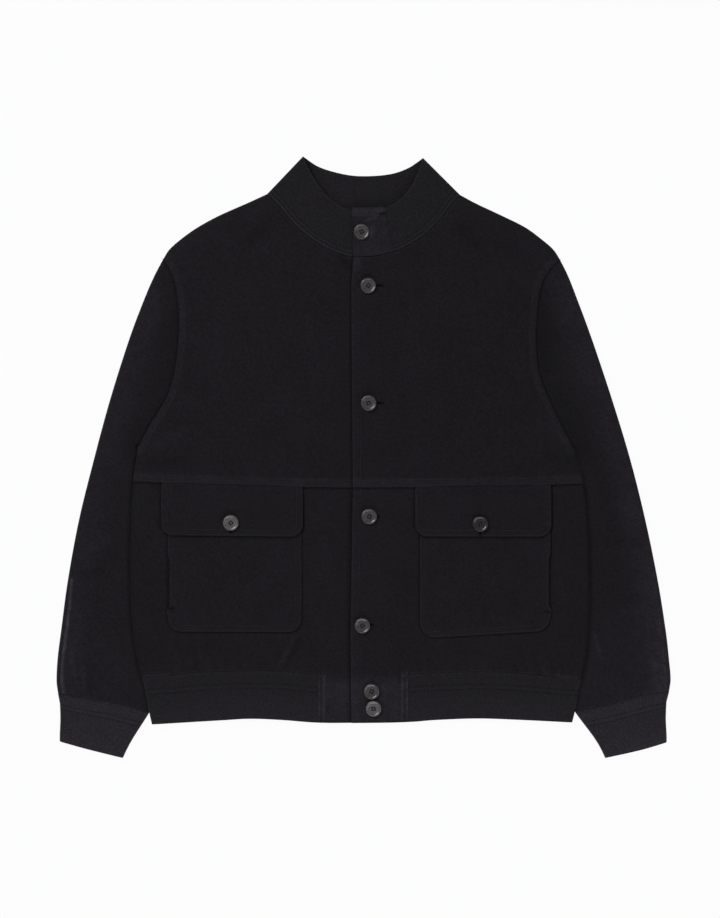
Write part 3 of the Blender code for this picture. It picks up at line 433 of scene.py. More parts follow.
# A point on a fold takes its way in from a point this share of a cell inside. A seam that leans more than
# this towards that way gives it, and a way that points out, as seen from some cells inside, is turned.
INSIDE_SHARE = 0.01
SEAM_LEAN = 0.7
BACKWARD, ON_FOLD, CLEAR_INSIDE = 0.4, 1.0, 4
SHARP_ANGLE, BUTTON_SHARP_ANGLE = math.radians(50), math.radians(35)
PATCH_COLUMNS = 64
PATCH_ROWS = 64
CORNER_STEPS = 12
CLOSING_STATIONS = 60
BUTTON_SEGMENTS, HOLE_SEGMENTS = 56, 14

# A button's turned profile from its foot's middle to its dish's middle: radius, height.
BUTTON_PROFILE = [
    (0.0, 0.0), (7.9, 0.0), (8.9, 0.35), (9.55, 0.95), (9.8, 1.6), (9.7, 2.25), (9.35, 2.8), (8.85, 3.08),
    (8.3, 3.1), (7.8, 2.9), (7.3, 2.5), (6.6, 2.3), (5.0, 2.22), (3.0, 2.12), (0.0, 2.05),
]
# A button's holes: their radius, how far they lie from its middle, and the length of what cuts them.
BUTTON_HOLE = {"radius": 0.95, "from_middle": 2.4, "cut": 12.0}
# The thread in a button: its runs' distance from the middle, the stitches' places in a run, their half
# length and rise; and the shank's stitches, on a ring below the button.
BUTTON_RUN = {"beside": 1.7, "places": (-0.45, 0.0, 0.45), "half": 2.3, "rise": 2.45}
BUTTON_SHANK = {"stitches": 5, "radius": 1.3, "turn": 1.257, "half": 1.6, "rise": -0.1, "lean": 0.02}

# The pocket's side opening: y of its lower and upper end, how far its edge stands off, over which width and
# up to how far below the pocket's top, and how far the edge is drawn in above its tack and juts at it.
POCKET_MOUTH_END = -188.0
POCKET_MOUTH_TOP = -128.0
POCKET_MOUTH_LIFT, POCKET_MOUTH_WIDTH = 1.1, 5.0
POCKET_MOUTH_BELOW, POCKET_MOUTH_SOFT = 40, 8.0
MOUTH_INSET, MOUTH_JUT, MOUTH_FADE = 2.2, 1.5, 12.0
MOUTH_ABOVE_END, MOUTH_SOFT = 6.0, 9.0
JUT_BELOW_END, JUT_WIDTH = 3.0, 5.0
# How far the flap's upper edge reaches under the chest seam.
FLAP_TUCKED = 0.1

# Creases in the collar's suede end: start, end, height, half width.
TAB_CREASES = [
    ((9.5, 279.0), (10.5, 287.0), 1.5, 3.6),
    ((-14.0, 299.0), (30.0, 303.0), -0.7, 2.2), ((4.0, 296.0), (28.0, 308.0), 0.6, 2.0),
    ((-14.0, 309.0), (26.0, 309.5), 0.5, 2.0), ((16.0, 268.0), (22.0, 300.0), -0.3, 3.0),
]

# Buttonholes and bar tacks: name, piece that carries it, x, y of its middle, turn in degrees, length, and
# a tack's thread.
BUTTONHOLES = [
    ("buttonhole_front_1", "front_left_upper", 11.0, 215.2, 0.0, 26.0),
    ("buttonhole_front_2", "front_left_upper", 11.6, 68.6, 0.0, 26.0),
    ("buttonhole_front_3", "front_left_lower", 8.6, -73.0, 0.0, 22.0),
    ("buttonhole_front_4", "front_left_lower", 1.0, -208.4, 0.0, 23.0),
    ("buttonhole_pocket_right", "flap_right", -165.6, -82.4, 90.0, 22.0),
    ("buttonhole_pocket_left", "flap_left", 145.4, -84.6, 90.0, 25.0),
]
TACKS = [
    ("tack_collar", "collar_tab", 23.6, 305.6, 20.0, 7.0, "dark_thread"),
    ("tack_pocket_right", "pocket_right", -240.2, -188.0, 0.0, 7.0, "dark_thread"),
    ("tack_pocket_left", "pocket_left", 229.4, -192.0, 0.0, 7.0, "dark_thread"),
    ("tack_band_right", "front_right_lower", -50.0, -272.0, 0.0, 7.0, "thread"),
    ("tack_band_left", "front_left_lower", 50.6, -271.5, 0.0, 7.0, "thread"),
]

# Looks.
SUEDE_COLOUR = (0.0068, 0.0059, 0.0076)
KNIT_COLOUR = (0.0082, 0.0073, 0.0092)
# One horn, with a painted lighter and a painted darker copy for buttons that catch more or less light: lit
# and shaded copies of the same horn.
HORN_COLOURS = {
    "horn": (0.030, 0.0275, 0.028), "horn_painted_lit": (0.060, 0.055, 0.057), "horn_painted_shaded": (0.008, 0.0075, 0.008),
}
HORN_OF = {"pocket_left": "horn_painted_shaded", "hem_2": "horn_painted_lit", "pocket_right": "horn_painted_lit"}
THREAD_COLOUR = (0.0135, 0.0120, 0.0145)
# Painted shadow: a buttonhole's mouth is a near-black sheet standing for the shade in it.
PAINTED_SLIT_SHADOW_COLOUR = (0.0008, 0.0008, 0.0008)
DARK_THREAD_COLOUR = (0.0075, 0.0065, 0.0085)
SUEDE_SHEEN, KNIT_SHEEN, SHEEN_ROUGHNESS = 0.08, 0.1, 0.45
CLOTH_SPECULAR = 0.08
# How unevenly the painted light and shade change along their seams.
SUEDE_UNEVEN, KNIT_UNEVEN = 0.35, 0.2
# The knit's loops: their height, and how steeply their rows slant up each rib.
LOOP_HEIGHT, LOOP_SLANT = 1.9, 1.3
WORLD_COLOUR = (1.0, 1.0, 1.0)
WORLD_STRENGTH = 0.36
FLOOR_COLOUR = (0.955, 0.955, 0.96)
FLOOR_BASE = (0.02, 0.02, 0.02)
FLOOR_SIZE, FLOOR_LEVEL = 12.0, -0.0004
# Soft lamps: name, place, aim, size, power.
LIGHTS = [
    ("key", (-1.1, 1.2, 1.5), (0, 0, 0), (1.2, 0.8), 38.0),
    ("low", (0.1, -1.9, 1.0), (0, -0.3, 0), (2.0, 0.6), 21.0),
    ("fill", (1.3, -0.9, 0.8), (0.3, -0.2, 0), (0.8, 0.8), 6.0),
]
# The camera looks straight down; the view's width and middle are at the cloth's level.
SENSOR = 36.0
CAMERA_HEIGHT = 3.2
VIEW_LEVEL = 0.005
VIEW_WIDTH = 0.9
VIEW_MIDDLE = (-0.0037, -0.0013)


# Lines

def mix(a, b, share):
    return a + (b - a) * share


def ease(t):
    t = np.clip(t, 0.0, 1.0)
    return t * t * (3 - 2 * t)


def unit(vectors):
    return vectors / np.maximum(np.linalg.norm(vectors, axis=-1, keepdims=True), 1e-9)


def smooth(points, per_span=16):
    """A Catmull-Rom curve through the points, as short chords."""
    p = np.asarray(points, float)
    p = np.vstack([2 * p[0] - p[1], p, 2 * p[-1] - p[-2]])
    t = np.linspace(0, 1, per_span, endpoint=False)[:, None]
    spans = [
        b + (c - a) * t / 2 + (2 * a - 5 * b + 4 * c - d) * t**2 / 2 + (3 * b - a - 3 * c + d) * t**3 / 2
        for a, b, c, d in zip(p, p[1:], p[2:], p[3:])
    ]
    return np.vstack([*spans, p[-2:-1]])


def lengths(line):
    return np.concatenate([[0.0], np.cumsum(np.linalg.norm(np.diff(line, axis=0), axis=1))])


def shares(line):
    s = lengths(line)
    return s / s[-1]


def along(line, distances):
    """The points of a line at these distances along it."""
    s = lengths(line)
    return np.stack([np.interp(distances, s, column) for column in line.T], 1)


def reach(line, column, value):
    """How far along a line one of its coordinates comes to a value."""
    order = np.argsort(line[:, column])
    return float(np.interp(value, line[order, column], lengths(line)[order]))


def like(line, pattern):
    """A line divided in a pattern's proportions."""
    return along(line, shares(pattern) * lengths(line)[-1])


def pinned(line, start, end):
    """A line moved so that it starts and ends at these points."""
    return line + mix((start - line[0])[None], (end - line[-1])[None], shares(line)[:, None])


def divided(line, start, end, steps, fold_start=False, fold_end=False):
    """The stations of a line between two distances: even, and closer where the cloth turns at a fold."""
    turn = FOLD_REACH * (1 - np.cos(np.linspace(0, math.pi / 2, FOLD_STEPS + 1)))
    first = start + turn if fold_start else np.array([start])
    last = end - turn[::-1] if fold_end else np.array([end])
    even = np.linspace(first[-1], last[0], steps + 1)
    return along(line, np.concatenate([first[:-1], even, last[1:]]))


def joined(*lines):
    """Lines that follow on each other as one, each shared point once."""
    return np.vstack([lines[0]] + [line[1:] for line in lines[1:]])


def closing_x(y):
    return np.interp(y, *zip(*CLOSING_EDGE))


def filled(bottom, top, side, middle):
    """A grid between four edges that meet at its corners."""
    u = ((shares(bottom) + shares(top)) / 2)[None, :, None]
    v = ((shares(side) + shares(middle)) / 2)[:, None, None]
    across = mix(side[:, None], middle[:, None], u)
    up = mix(bottom[None], top[None], v)
    corners = mix(mix(bottom[0], bottom[-1], u), mix(top[0], top[-1], u), v)
    return across + up - corners


class Side:
    """The seams and folds of one side of the jacket, divided into the stations that its pieces share."""

    def __init__(self, name):
        self.name = name
        body = smooth(BODY_SIDE[name])
        tail = lengths(body)[-1]
        from_side = slice(None, None, 1 if name == "right" else -1)
        chest, band, hem = (smooth(table)[from_side] for table in (CHEST_SEAM, BAND_SEAM, HEM))
        at_band, at_chest = reach(body, 1, band[0, 1]), reach(body, 1, chest[0, 1])
        chest = pinned(chest, along(body, [at_chest])[0], chest[-1])
        band = pinned(band, along(body, [at_band])[0], band[-1])
        neck = smooth(NECK_SEAM[name])

        self.band_fold = divided(body, 0, at_band, BAND_END_STEPS)
        self.below_chest = divided(body, at_band, at_chest, BELOW_CHEST_STEPS)
        self.above_chest = divided(body, at_chest, tail, ABOVE_CHEST_STEPS)
        self.armhole = self.whole(ARMHOLE[name], ARMHOLE_STEPS, True, True)
        self.shoulder = self.whole(SHOULDER[name], SHOULDER_STEPS, True)
        self.chest = self.across_front(chest)
        self.band = self.across_front(band)
        self.hem_at_closing = self.across_front(hem)[FRONT_END:]
        lap = reach(neck, 0, closing_x(neck[-1, 1]) if name == "right" else LAP_END_X)
        to_lap = divided(neck, 0, lap, NECK_TO_LAP)
        self.neck = joined(to_lap, divided(neck, lap, lengths(neck)[-1], CLOSING_STEPS))
        self.sleeve_outer = smooth(SLEEVE_OUTER[name])
        self.sleeve_inner = self.sleeve_edge(body)
        self.folds = [
            joined(self.below_chest, self.above_chest),
            self.shoulder,
            self.sleeve_outer,
            self.sleeve_inner[: SLEEVE_STEPS + 1],
        ]

    @staticmethod
    def whole(table, steps, fold_start=False, fold_end=False):
        line = smooth(table)
        return divided(line, 0, lengths(line)[-1], steps, fold_start, fold_end)

    def end_x(self, y):
        """x where this side's front ends."""
        return UNDER_EDGE_X + 0 * y if self.name == "right" else closing_x(y)

    def lap_x(self, y):
        """x where the other side's front ends."""
        return closing_x(y) if self.name == "right" else UNDER_EDGE_X

    def across_front(self, line):
        """A seam's stations: from the side to the band's suede end, the other front's edge and this one's."""
        y = np.interp(0, *line[np.argsort(line[:, 0])].T)
        stops = [reach(line, 0, x) for x in (BAND_END_X[self.name], self.lap_x(y), self.end_x(y))]
        return joined(
            divided(line, 0, stops[0], FRONT_STEPS, True),
            divided(line, stops[0], stops[1], CLOSING_STEPS),
            divided(line, stops[1], stops[2], CLOSING_STEPS),
        )

    def sleeve_edge(self, body):
        """The sleeve's inner edge, close beside the body's side, and on up the armhole to the shoulder."""
        outward = np.array([-1.0 if self.name == "right" else 1.0, 0.0])
        start = reach(body, 1, CUFF_SEAM[self.name][-1][1])
        beside = divided(body, start, lengths(body)[-1], SLEEVE_STEPS) + outward * SLEEVE_CLEARANCE
        up_seam = self.armhole + outward * SEAM_OPEN
        return np.vstack([beside[:-1], up_seam])


# Heights

def from_folds(xy, folds):
    """How far each point lies from the nearest folded edge, and which way leads from that edge to it."""
    start, end = (np.vstack([fold[part] for fold in folds]) for part in (slice(None, -1), slice(1, None)))
    chord = end - start
    offset = xy[..., None, :] - start
    share = np.clip((offset * chord).sum(-1) / (chord**2).sum(-1), 0, 1)
    offset = offset - share[..., None] * chord
    distance = np.linalg.norm(offset, axis=-1)
    nearest = distance.argmin(-1)[..., None]
    offset = np.take_along_axis(offset, nearest[..., None], -2)[..., 0, :]
    distance = np.take_along_axis(distance, nearest, -1)
    return distance[..., 0], offset / np.maximum(distance, 1e-9)


def quarter_turn(off):
    """How far a layer has come in its quarter turn, as a share, at a distance from the folded edge."""
    left = 1 - np.clip(off / FOLD_REACH, 0, 1)
    return np.sqrt(1 - left**2)


def near(xy, line):
    """How far each point lies from a line."""
    return from_folds(xy, [line])[0]


def bump(off, width):
    return np.exp(-((off / width) ** 2))


def within(off, reach_in, soft):
    """1 up to a distance, easing to 0 over a soft length beyond it."""
    return ease((reach_in - off) / soft + 1)


def window(value, low, high, soft):
    """1 between two values, easing to 0 over a soft length outside them."""
    return ease((value - low) / soft + 1) * within(value, high, soft)


def trough_depth(xy):
    depth = np.zeros(xy.shape[:-1])
    for x0, y0, x1, y1, deep, half_width in TROUGHS:
        depth += deep * bump(near(xy, np.array([(x0, y0), (x1, y1)])), half_width)
    return np.minimum(depth, DEEPEST_TROUGH)


def gather_height(xy, seam):
    """The waves of cloth that a knit band gathers, and the dip at the seam itself."""
    off = near(xy, seam)
    waves = 1 - GATHER["unevenness"] * (1 - np.cos(2 * math.pi * xy[..., 0] / GATHER["wave"]))
    swell = GATHER["height"] * waves * bump(off - GATHER["from_seam"], GATHER["width"])
    return swell - GATHER["seam_dip"] * bump(off, GATHER["dip_width"])


def top_height(xy, off, gathered_at=None):
    """The top layer's outer side: halfway up at a folded edge, a soft crest inside it, then flat."""
    level = mix(FLAT_TOP, CREST_TOP, bump(np.maximum(off - FOLD_REACH, 0), CREST_WIDTH))
    relief = -trough_depth(xy)
    if gathered_at is not None:
        relief += gather_height(xy, gathered_at)
    level = np.minimum(level + relief * ease(off / (2 * FOLD_REACH)), CREST_TOP)
    return mix(FOLD_MIDDLE + SEAM_GAP / 2, level, quarter_turn(off))


def under_height(off):
    """The bottom layer's outer side: flat on the surface, and halfway up at a folded edge."""
    return (FOLD_MIDDLE - SEAM_GAP / 2) * (1 - quarter_turn(off))


def closing_height(xy, height, side):
    """The fronts where they close: the right one sinks under the left one, which steps up over it."""
    if side.name == "right":
        from_edge = xy[..., 0] - closing_x(xy[..., 1]) + UNDERLAP_LEAD
        return mix(height, UNDERLAP_TOP, ease(from_edge / CLOSING_SLOPE + 1))
    return mix(OVERLAP_TOP, height, ease((xy[..., 0] - LAP_END_X) / CLOSING_SLOPE))


# Shells

def with_height(xy, z):
    return np.concatenate([xy, np.broadcast_to(z, xy.shape[:-1])[..., None]], -1)


def finer(grid, axis, *spans):
    """A grid with some of its cells divided: each span is first cell, end cell and how many parts each."""
    count = grid.shape[axis] - 1
    parts = np.ones(count, int)
    for start, end, each in spans:
        parts[slice(start, end)] = each
    place = np.concatenate([[k + j / n for j in range(n)] for k, n in enumerate(parts)] + [[count]])
    low = np.minimum(place.astype(int), count - 1)
    share = (place - low).reshape([-1 if k == axis else 1 for k in range(grid.ndim)])
    return mix(np.take(grid, low, axis), np.take(grid, low + 1, axis), share)


def shell(name, outer, inner, material, cells=None, wrap=False, around=None, nap=1.0):
    """A closed thin shell between two grids of points in millimetres, with UVs in metres along the cloth."""
    rows, columns = outer.shape[:2]
    both = np.round(np.concatenate([outer, inner]).reshape(-1, 3), 4)
    points, ids = np.unique(both, axis=0, return_inverse=True)
    ids = ids.reshape(2, rows, columns)
    # The painted light and shade at each point: painted highlights above 1, painted shade below it, kept as a
    # mesh attribute.
    painted_light_per_point = np.ones(len(points))
    painted_light_per_point[ids] = nap
    spot = np.arange(rows * columns).reshape(rows, columns)
    if wrap:
        ids = np.concatenate([ids, ids[:, :, :1]], 2)
        spot = np.concatenate([spot, spot[:, :1]], 1)
    if cells is None:
        cells = np.ones((rows - 1, ids.shape[2] - 1), bool)
    r, c = np.nonzero(cells)

    def skin(grid):
        return np.stack([grid[r, c], grid[r, c + 1], grid[r + 1, c + 1], grid[r + 1, c]], 1)

    over, under, spots = skin(ids[0]), skin(ids[1]), skin(spot)
    sides = {}
    for face, below, place in zip(over.tolist(), under.tolist(), spots.tolist()):
        for k in range(4):
            sides[face[k], face[k - 3]] = (below[k], below[k - 3], place[k], place[k - 3])
    faces = over.tolist() + under[:, ::-1].tolist()
    places = spots.tolist() + spots[:, ::-1].tolist()
    for (a, b), (low_a, low_b, place_a, place_b) in sides.items():
        if a != b and (b, a) not in sides:
            faces.append([b, a, low_a, low_b])
            places.append([place_b, place_a, place_a, place_b])
    kept = []
    for face, place in zip(faces, places):
        corners = dict(zip(face, place))
        if len(corners) > 2:
            kept.append((list(corners), list(corners.values())))
    mesh = bpy.data.meshes.new(name)
    moved = (points + [*CENTRE * -1, 0]) * MM
    mesh.from_pydata(moved.tolist(), [], [face for face, _ in kept])
    mesh.attributes.new("nap", "FLOAT", "POINT").data.foreach_set("value", painted_light_per_point)
    uv = around if around is not None else laid_out(outer)
    flat = uv.reshape(-1, 2)[np.concatenate([place for _, place in kept])]
    mesh.uv_layers.new(name="cloth").data.foreach_set("uv", (flat * MM).ravel())
    return piece(name, facing_out(mesh), material)


def laid_out(outer):
    """A grid's lengths along its rows and columns, as UVs."""
    along_rows = np.linalg.norm(np.diff(outer, axis=1), axis=2).cumsum(1)
    along_columns = np.linalg.norm(np.diff(outer, axis=0), axis=2).cumsum(0)
    u = np.concatenate([np.zeros((len(outer), 1)), along_rows], 1)
    v = np.concatenate([np.zeros((1, outer.shape[1])), along_columns], 0)
    return np.stack([u - u.mean(1, keepdims=True), v], -1)


def facing_out(mesh):
    work = bmesh.new()
    work.from_mesh(mesh)
    bmesh.ops.delete(work, geom=[v for v in work.verts if not v.link_faces], context="VERTS")
    if work.calc_volume(signed=True) < 0:
        bmesh.ops.reverse_faces(work, faces=work.faces)
    work.to_mesh(mesh)
    work.free()
    mesh.shade_smooth()
    mesh.set_sharp_from_angle(angle=SHARP_ANGLE)
    return mesh


def piece(name, mesh, material):
    thing = bpy.data.objects.new(name, mesh)
    bpy.context.scene.collection.objects.link(thing)
    mesh.materials.append(material)
    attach(thing, "root")
    return thing


def cloth(node):
    """Hides the solid of the node that a shell stands for."""
    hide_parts(node)


# Suede panels

def turned_in(plan, folds):
    """A plan's distances from the folds, and the way in from them, also for its points on a fold.

    Where a seam across the panel meets a fold, the way in is along the seam."""
    off = from_folds(plan, folds)[0]
    moved = plan.copy()
    moved[:, 0] = mix(plan[:, 0], plan[:, 1], INSIDE_SHARE)
    moved[:, -1] = mix(plan[:, -1], plan[:, -2], INSIDE_SHARE)
    moved[-1] = mix(plan[-1], plan[-2], INSIDE_SHARE)
    way_in = from_folds(moved, folds)[1]
    for row in (0, -1):
        seam = unit(np.gradient(plan[row], axis=0))
        lean = (seam * way_in[row]).sum(1, keepdims=True)
        way_in[row] = np.where(np.abs(lean) > SEAM_LEAN, seam * np.sign(lean), way_in[row])
    first, last = CLEAR_INSIDE, -1 - CLEAR_INSIDE
    edges = (np.s_[:, 0], np.s_[:, first]), (np.s_[:, -1], np.s_[:, last]), (np.s_[-1], np.s_[last])
    for edge, inside in edges:
        lean = (way_in[edge] * unit(plan[inside] - plan[edge])).sum(-1, keepdims=True)
        wrong = (lean < -BACKWARD) & (off[edge][..., None] < ON_FOLD)
        way_in[edge] = np.where(wrong, -way_in[edge], way_in[edge])
    return off, way_in


def panel(name, plan, z, off, way_in, facing, relief=0.0, cells=None, nap=1.0):
    """A wall of suede over a plan, with its relief on its outer side. Returns the shell and that side."""
    rise = quarter_turn(off)
    inward = SUEDE * np.sqrt(1 - rise**2)
    outer = with_height(plan, z + facing * relief)
    inner = with_height(plan + way_in * inward[..., None], z - facing * SUEDE * rise)
    return shell(name, outer, inner, SUEDE_LOOK, cells, nap=nap), outer


def front_middle(side, low, high, pattern):
    """The middle edge of a front between two of its corners."""
    y = mix(low[1], high[1], shares(pattern))
    line = np.stack([side.end_x(y), y], 1)
    line[0], line[-1] = low, high
    return line


def beside(line, distance):
    """A line drawn this far to the left of another, as seen going along it."""
    way = unit(np.gradient(line, axis=0))
    return line + distance * np.stack([-way[:, 1], way[:, 0]], 1)


def way_of(side):
    """1 on the right, where seams run to the viewer's right, and -1 on the left."""
    return 1 if side.name == "right" else -1


def drape(xy):
    """Broad, shallow swells of cloth that lies loose on the layer below."""
    x, y = xy[..., 0], xy[..., 1]
    swell = np.zeros(x.shape)
    for across, up, start, high in DRAPES:
        swell += high * np.cos(x * across + y * up + start)
    return swell


def creased(xy):
    """The fine creases: ridges above zero and troughs below it, each fading at its ends."""
    height = np.zeros(xy.shape[:-1])
    for x0, y0, x1, y1, high, half_width in CREASES:
        ends = np.array([(x0, y0), (x1, y1)])
        run = ends[1] - ends[0]
        share = ((xy - ends[0]) @ run) / (run @ run)
        faded = window(share, *CREASE_FULL, CREASE_FADE)
        height += high * bump(near(xy, ends), half_width) * faded
    return height


def puckers(xy, seam, wave, high, length):
    """The small uneven gathers beside a seam that draws the cloth in."""
    off = near(xy, seam)
    x = xy[..., 0] + PUCKER_LEAN * off
    phase = 2 * math.pi * x / wave
    for bunch, bunch_length, start in PUCKER_BUNCHES:
        phase = phase + bunch * np.sin(x / bunch_length + start)
    mean, share, swell_length, start = PUCKER_SWELL
    uneven = mean + share * np.sin(x / swell_length + start)
    return high * uneven * np.cos(phase) * np.exp(-off / length) * ease(off / PUCKER_START)


class Sewn:
    """The rows of stitching on a piece, and the relief and the painted light and shade that its seams give
    it.
    """

    def __init__(self):
        self.rows, self.valleys, self.lips, self.tones = [], [], [], []

    def seam(self, line, look):
        """Gives a line one of the looks in SEAM_LOOKS."""
        valley, lip, tones = SEAM_LOOKS[look]
        if valley:
            self.valleys.append((line, *valley))
        if lip:
            self.lips.append((line, *lip))
        self.tones += [(line, *tone) for tone in tones]

    def nap(self, xy):
        """Painted light and shade: lighter on the seams' ridges and edges as painted highlights, darker in
        the creases and beside them as painted shade.
        """
        light = np.clip(1 + PAINTED_RELIEF_SHADE * (self.relief(xy) + creased(xy)), *PAINTED_RELIEF_SHADE_LIMITS)
        for line, change, reach_in, soft in self.tones:
            light *= 1 + change * within(near(xy, line), reach_in, soft)
        return light

    def relief(self, xy):
        height = np.zeros(xy.shape[:-1])
        for line, deep, width in self.valleys:
            height -= deep * bump(near(xy, line), width)
        for line, high, reach_in, soft in self.lips:
            height += high * within(near(xy, line), reach_in, soft)
        for line in self.rows:
            height -= ROW_DIP * bump(near(xy, line), ROW_WIDTH)
        return height


def upper_sewing(side):
    way = way_of(side)
    sewn = Sewn()
    sewn.rows += [beside(side.chest, way * off) for off in CHEST_ROWS]
    sewn.rows += [beside(side.armhole, -way * off)[FOLD_STEPS:] for off in ARMHOLE_ROWS]
    sewn.seam(side.chest, "upper_chest")
    sewn.seam(side.armhole, "upper_armhole")
    sewn.seam(side.shoulder, "shoulder")
    sewn.rows.append(beside(side.neck, -way * NECK_ROW))
    sewn.seam(side.neck, "neck")
    add_closing(sewn, side, side.chest[-1, 1], side.neck[-1, 1])
    sewn.seam(np.array(CLOSING_TOP[side.name]), f"closing_top_{side.name}")
    return sewn


def closing_edge(low, high):
    y = np.linspace(low, high, CLOSING_STATIONS)
    return np.stack([closing_x(y), y], 1)


def add_closing(sewn, side, low, high):
    """The left front's sewn edge, or the shade under it on the right front."""
    edge = closing_edge(low, high)
    if side.name == "right":
        sewn.seam(edge, "under_closing")
    else:
        sewn.rows += [edge + [off, 0] for off in EDGE_ROWS]
        sewn.seam(edge, "closing_edge")


def lifted(side, xy):
    """How far the flap under the chest seam lifts the upper front's edge."""
    outer, inner, *_ = FLAP[side.name]
    over_flap = window(xy[..., 0], min(outer, inner), max(outer, inner), FLAP_UNDER_END)
    return FLAP_UNDER_LIP * over_flap * bump(near(xy, side.chest), FLAP_UNDER_WIDTH)


def upper_height(side, xy):
    """The upper front's outer side without its sewing."""
    off = from_folds(xy, side.folds)[0]
    loose = (drape(xy) + creased(xy)) * quarter_turn(off)
    return closing_height(xy, top_height(xy, off) + loose, side)


def upper_front(side):
    edge = joined(side.above_chest, side.armhole)
    top = joined(side.shoulder, side.neck)
    plan = filled(side.chest, top, edge, front_middle(side, side.chest[-1], top[-1], edge))
    plan = finer(plan, 0, *UPPER_FINER_ROWS)
    plan = finer(plan, 1, *UPPER_FINER_COLUMNS)
    off, way_in = turned_in(plan, side.folds)
    sewn = upper_sewing(side)
    relief = (sewn.relief(plan) + lifted(side, plan)) * quarter_turn(off)
    z = upper_height(side, plan)
    name = f"front_{side.name}_upper"
    thing, outer_side = panel(name, plan, z, off, way_in, 1, relief, nap=sewn.nap(plan))
    cloth(name)
    return name, sewn, lambda xy: upper_height(side, xy) + sewn.relief(xy) + lifted(side, xy), side.folds


def lower_sewing(side):
    way = way_of(side)
    sewn = Sewn()
    sewn.seam(side.chest, "lower_chest")
    sewn.seam(side.below_chest, "body_side")
    for table in (POCKET, FLAP):
        sewn.seam(patch_edge(patch_plan(*table[side.name])), "beside_patch")
    band_seam = side.band[: FRONT_END + 1]
    sewn.rows.append(beside(band_seam, way * BAND_ROW))
    sewn.seam(band_seam, "band_seam")
    sewn.seam(beside(band_seam, way * BAND_SEAM_LIT)[:LIT_SEAM_STATIONS], "band_seam_end")
    sewn.seam(closing_edge(band_seam[-1, 1], side.chest[-1, 1]), "lower_closing")
    hem = side.hem_at_closing
    y = np.linspace(hem[0, 1], band_seam[-1, 1] + BAND_END_BEYOND, BAND_END_STATIONS)
    end = np.stack([0 * y + BAND_END_X[side.name], y], 1)
    sewn.seam(end, "band_end")
    for off, lit in zip(BAND_END_ROWS[side.name], BAND_END_LIT[side.name]):
        sewn.rows.append(end + [way * off, 0])
        sewn.seam(end + [way * lit, 0], "band_end_row")
    sewn.seam(hem, "hem")
    add_closing(sewn, side, hem[-1, 1], side.chest[-1, 1])
    return sewn


def lower_height(side, xy):
    """The lower front's outer side without its sewing."""
    off = from_folds(xy, side.folds)[0]
    band_seam = side.band[: FRONT_END + 1]
    loose = (drape(xy) + creased(xy) + puckers(xy, band_seam, *BODY_PUCKERS)) * quarter_turn(off)
    return closing_height(xy, top_height(xy, off, band_seam) + loose, side)


def lower_front(side):
    """The lower front, in one piece with the suede end of the hem band."""
    middle = front_middle(side, side.band[-1], side.chest[-1], side.below_chest)
    main = filled(side.band, side.chest, side.below_chest, middle)
    main[-1, :, 1] -= SEAM_OPEN
    share = np.linspace(0, 1, BAND_END_STEPS, endpoint=False)[:, None, None]
    band_end = mix(side.hem_at_closing[None], main[:1, FRONT_END:], share)
    blank = np.repeat(main[:1, :FRONT_END], BAND_END_STEPS, axis=0)
    plan = np.concatenate([np.concatenate([blank, band_end], 1), main])
    plan = finer(plan, 0, *LOWER_FINER_ROWS)
    plan = finer(plan, 1, *LOWER_FINER_COLUMNS)
    cells = np.ones((len(plan) - 1, plan.shape[1] - 1), bool)
    cells[:BAND_END_STEPS, : FOLD_STEPS + 2 * FRONT_STEPS] = False
    off, way_in = turned_in(plan, side.folds)
    sewn = lower_sewing(side)
    relief = sewn.relief(plan) * quarter_turn(off)
    z = lower_height(side, plan)
    name = f"front_{side.name}_lower"
    # The puckers are painted lighter on their ridges and darker in their hollows, as painted shade.
    nap = sewn.nap(plan) * (1 + PAINTED_RELIEF_SHADE * puckers(plan, side.band[:FRONT_END], *BODY_PUCKERS))
    thing, outer_side = panel(name, plan, z, off, way_in, 1, relief, cells, nap)
    cloth(name)
    return name, sewn, lambda xy: lower_height(side, xy) + sewn.relief(xy), side.folds


def thinned(count):
    """Every second station, with the last one kept."""
    return np.append(np.arange(0, count - 1, 2), count - 1)


def back(right, left):
    band = smooth(BAND_SEAM)
    steps = 2 * SHOULDER_STEPS + BACK_STEPS
    top = joined(right.shoulder, Side.whole(BACK_NECK, BACK_STEPS), left.shoulder[::-1])
    edges = [joined(side.below_chest, side.above_chest, side.armhole) for side in (right, left)]
    bottom = divided(band, 0, lengths(band)[-1], steps, True, True)
    plan = filled(pinned(bottom, edges[0][0], edges[1][0]), top, *edges)
    plan = plan[thinned(len(plan))][:, thinned(plan.shape[1])]
    off, way_in = turned_in(plan, right.folds + left.folds)
    thing, outer_side = panel("back", plan, under_height(off), off, way_in, -1)
    cloth("back")


def sleeve_plan(side):
    """Rows across the sleeve from its outer edge to its inner one, narrowing to a point at the shoulder."""
    inner = side.sleeve_inner
    outer = side.sleeve_outer
    outer = along(outer, shares(inner) * (lengths(outer)[-1] - SLEEVE_END_GAP))
    cuff_seam = pinned(smooth(CUFF_SEAM[side.name]), outer[0], inner[0])
    narrow = np.array([(0.0, 0.0), (NARROW_ROW, 0.0)])
    rows = []
    for start, end in zip(outer[:-1], inner[:-1]):
        line = np.array([start, end])
        pattern = line if lengths(line)[-1] > NARROW_ROW else narrow
        stations = divided(pattern, 0, lengths(pattern)[-1], SLEEVE_COLUMNS, True, True)
        rows.append(like(line, stations))
    bow = like(cuff_seam, rows[0]) - rows[0]
    plan = np.array(rows)
    plan += bow * ((1 - np.linspace(0, 1, len(rows))) ** BOW_FADE)[:, None, None]
    return np.concatenate([plan, np.repeat(outer[-1:, None], plan.shape[1], 1)])


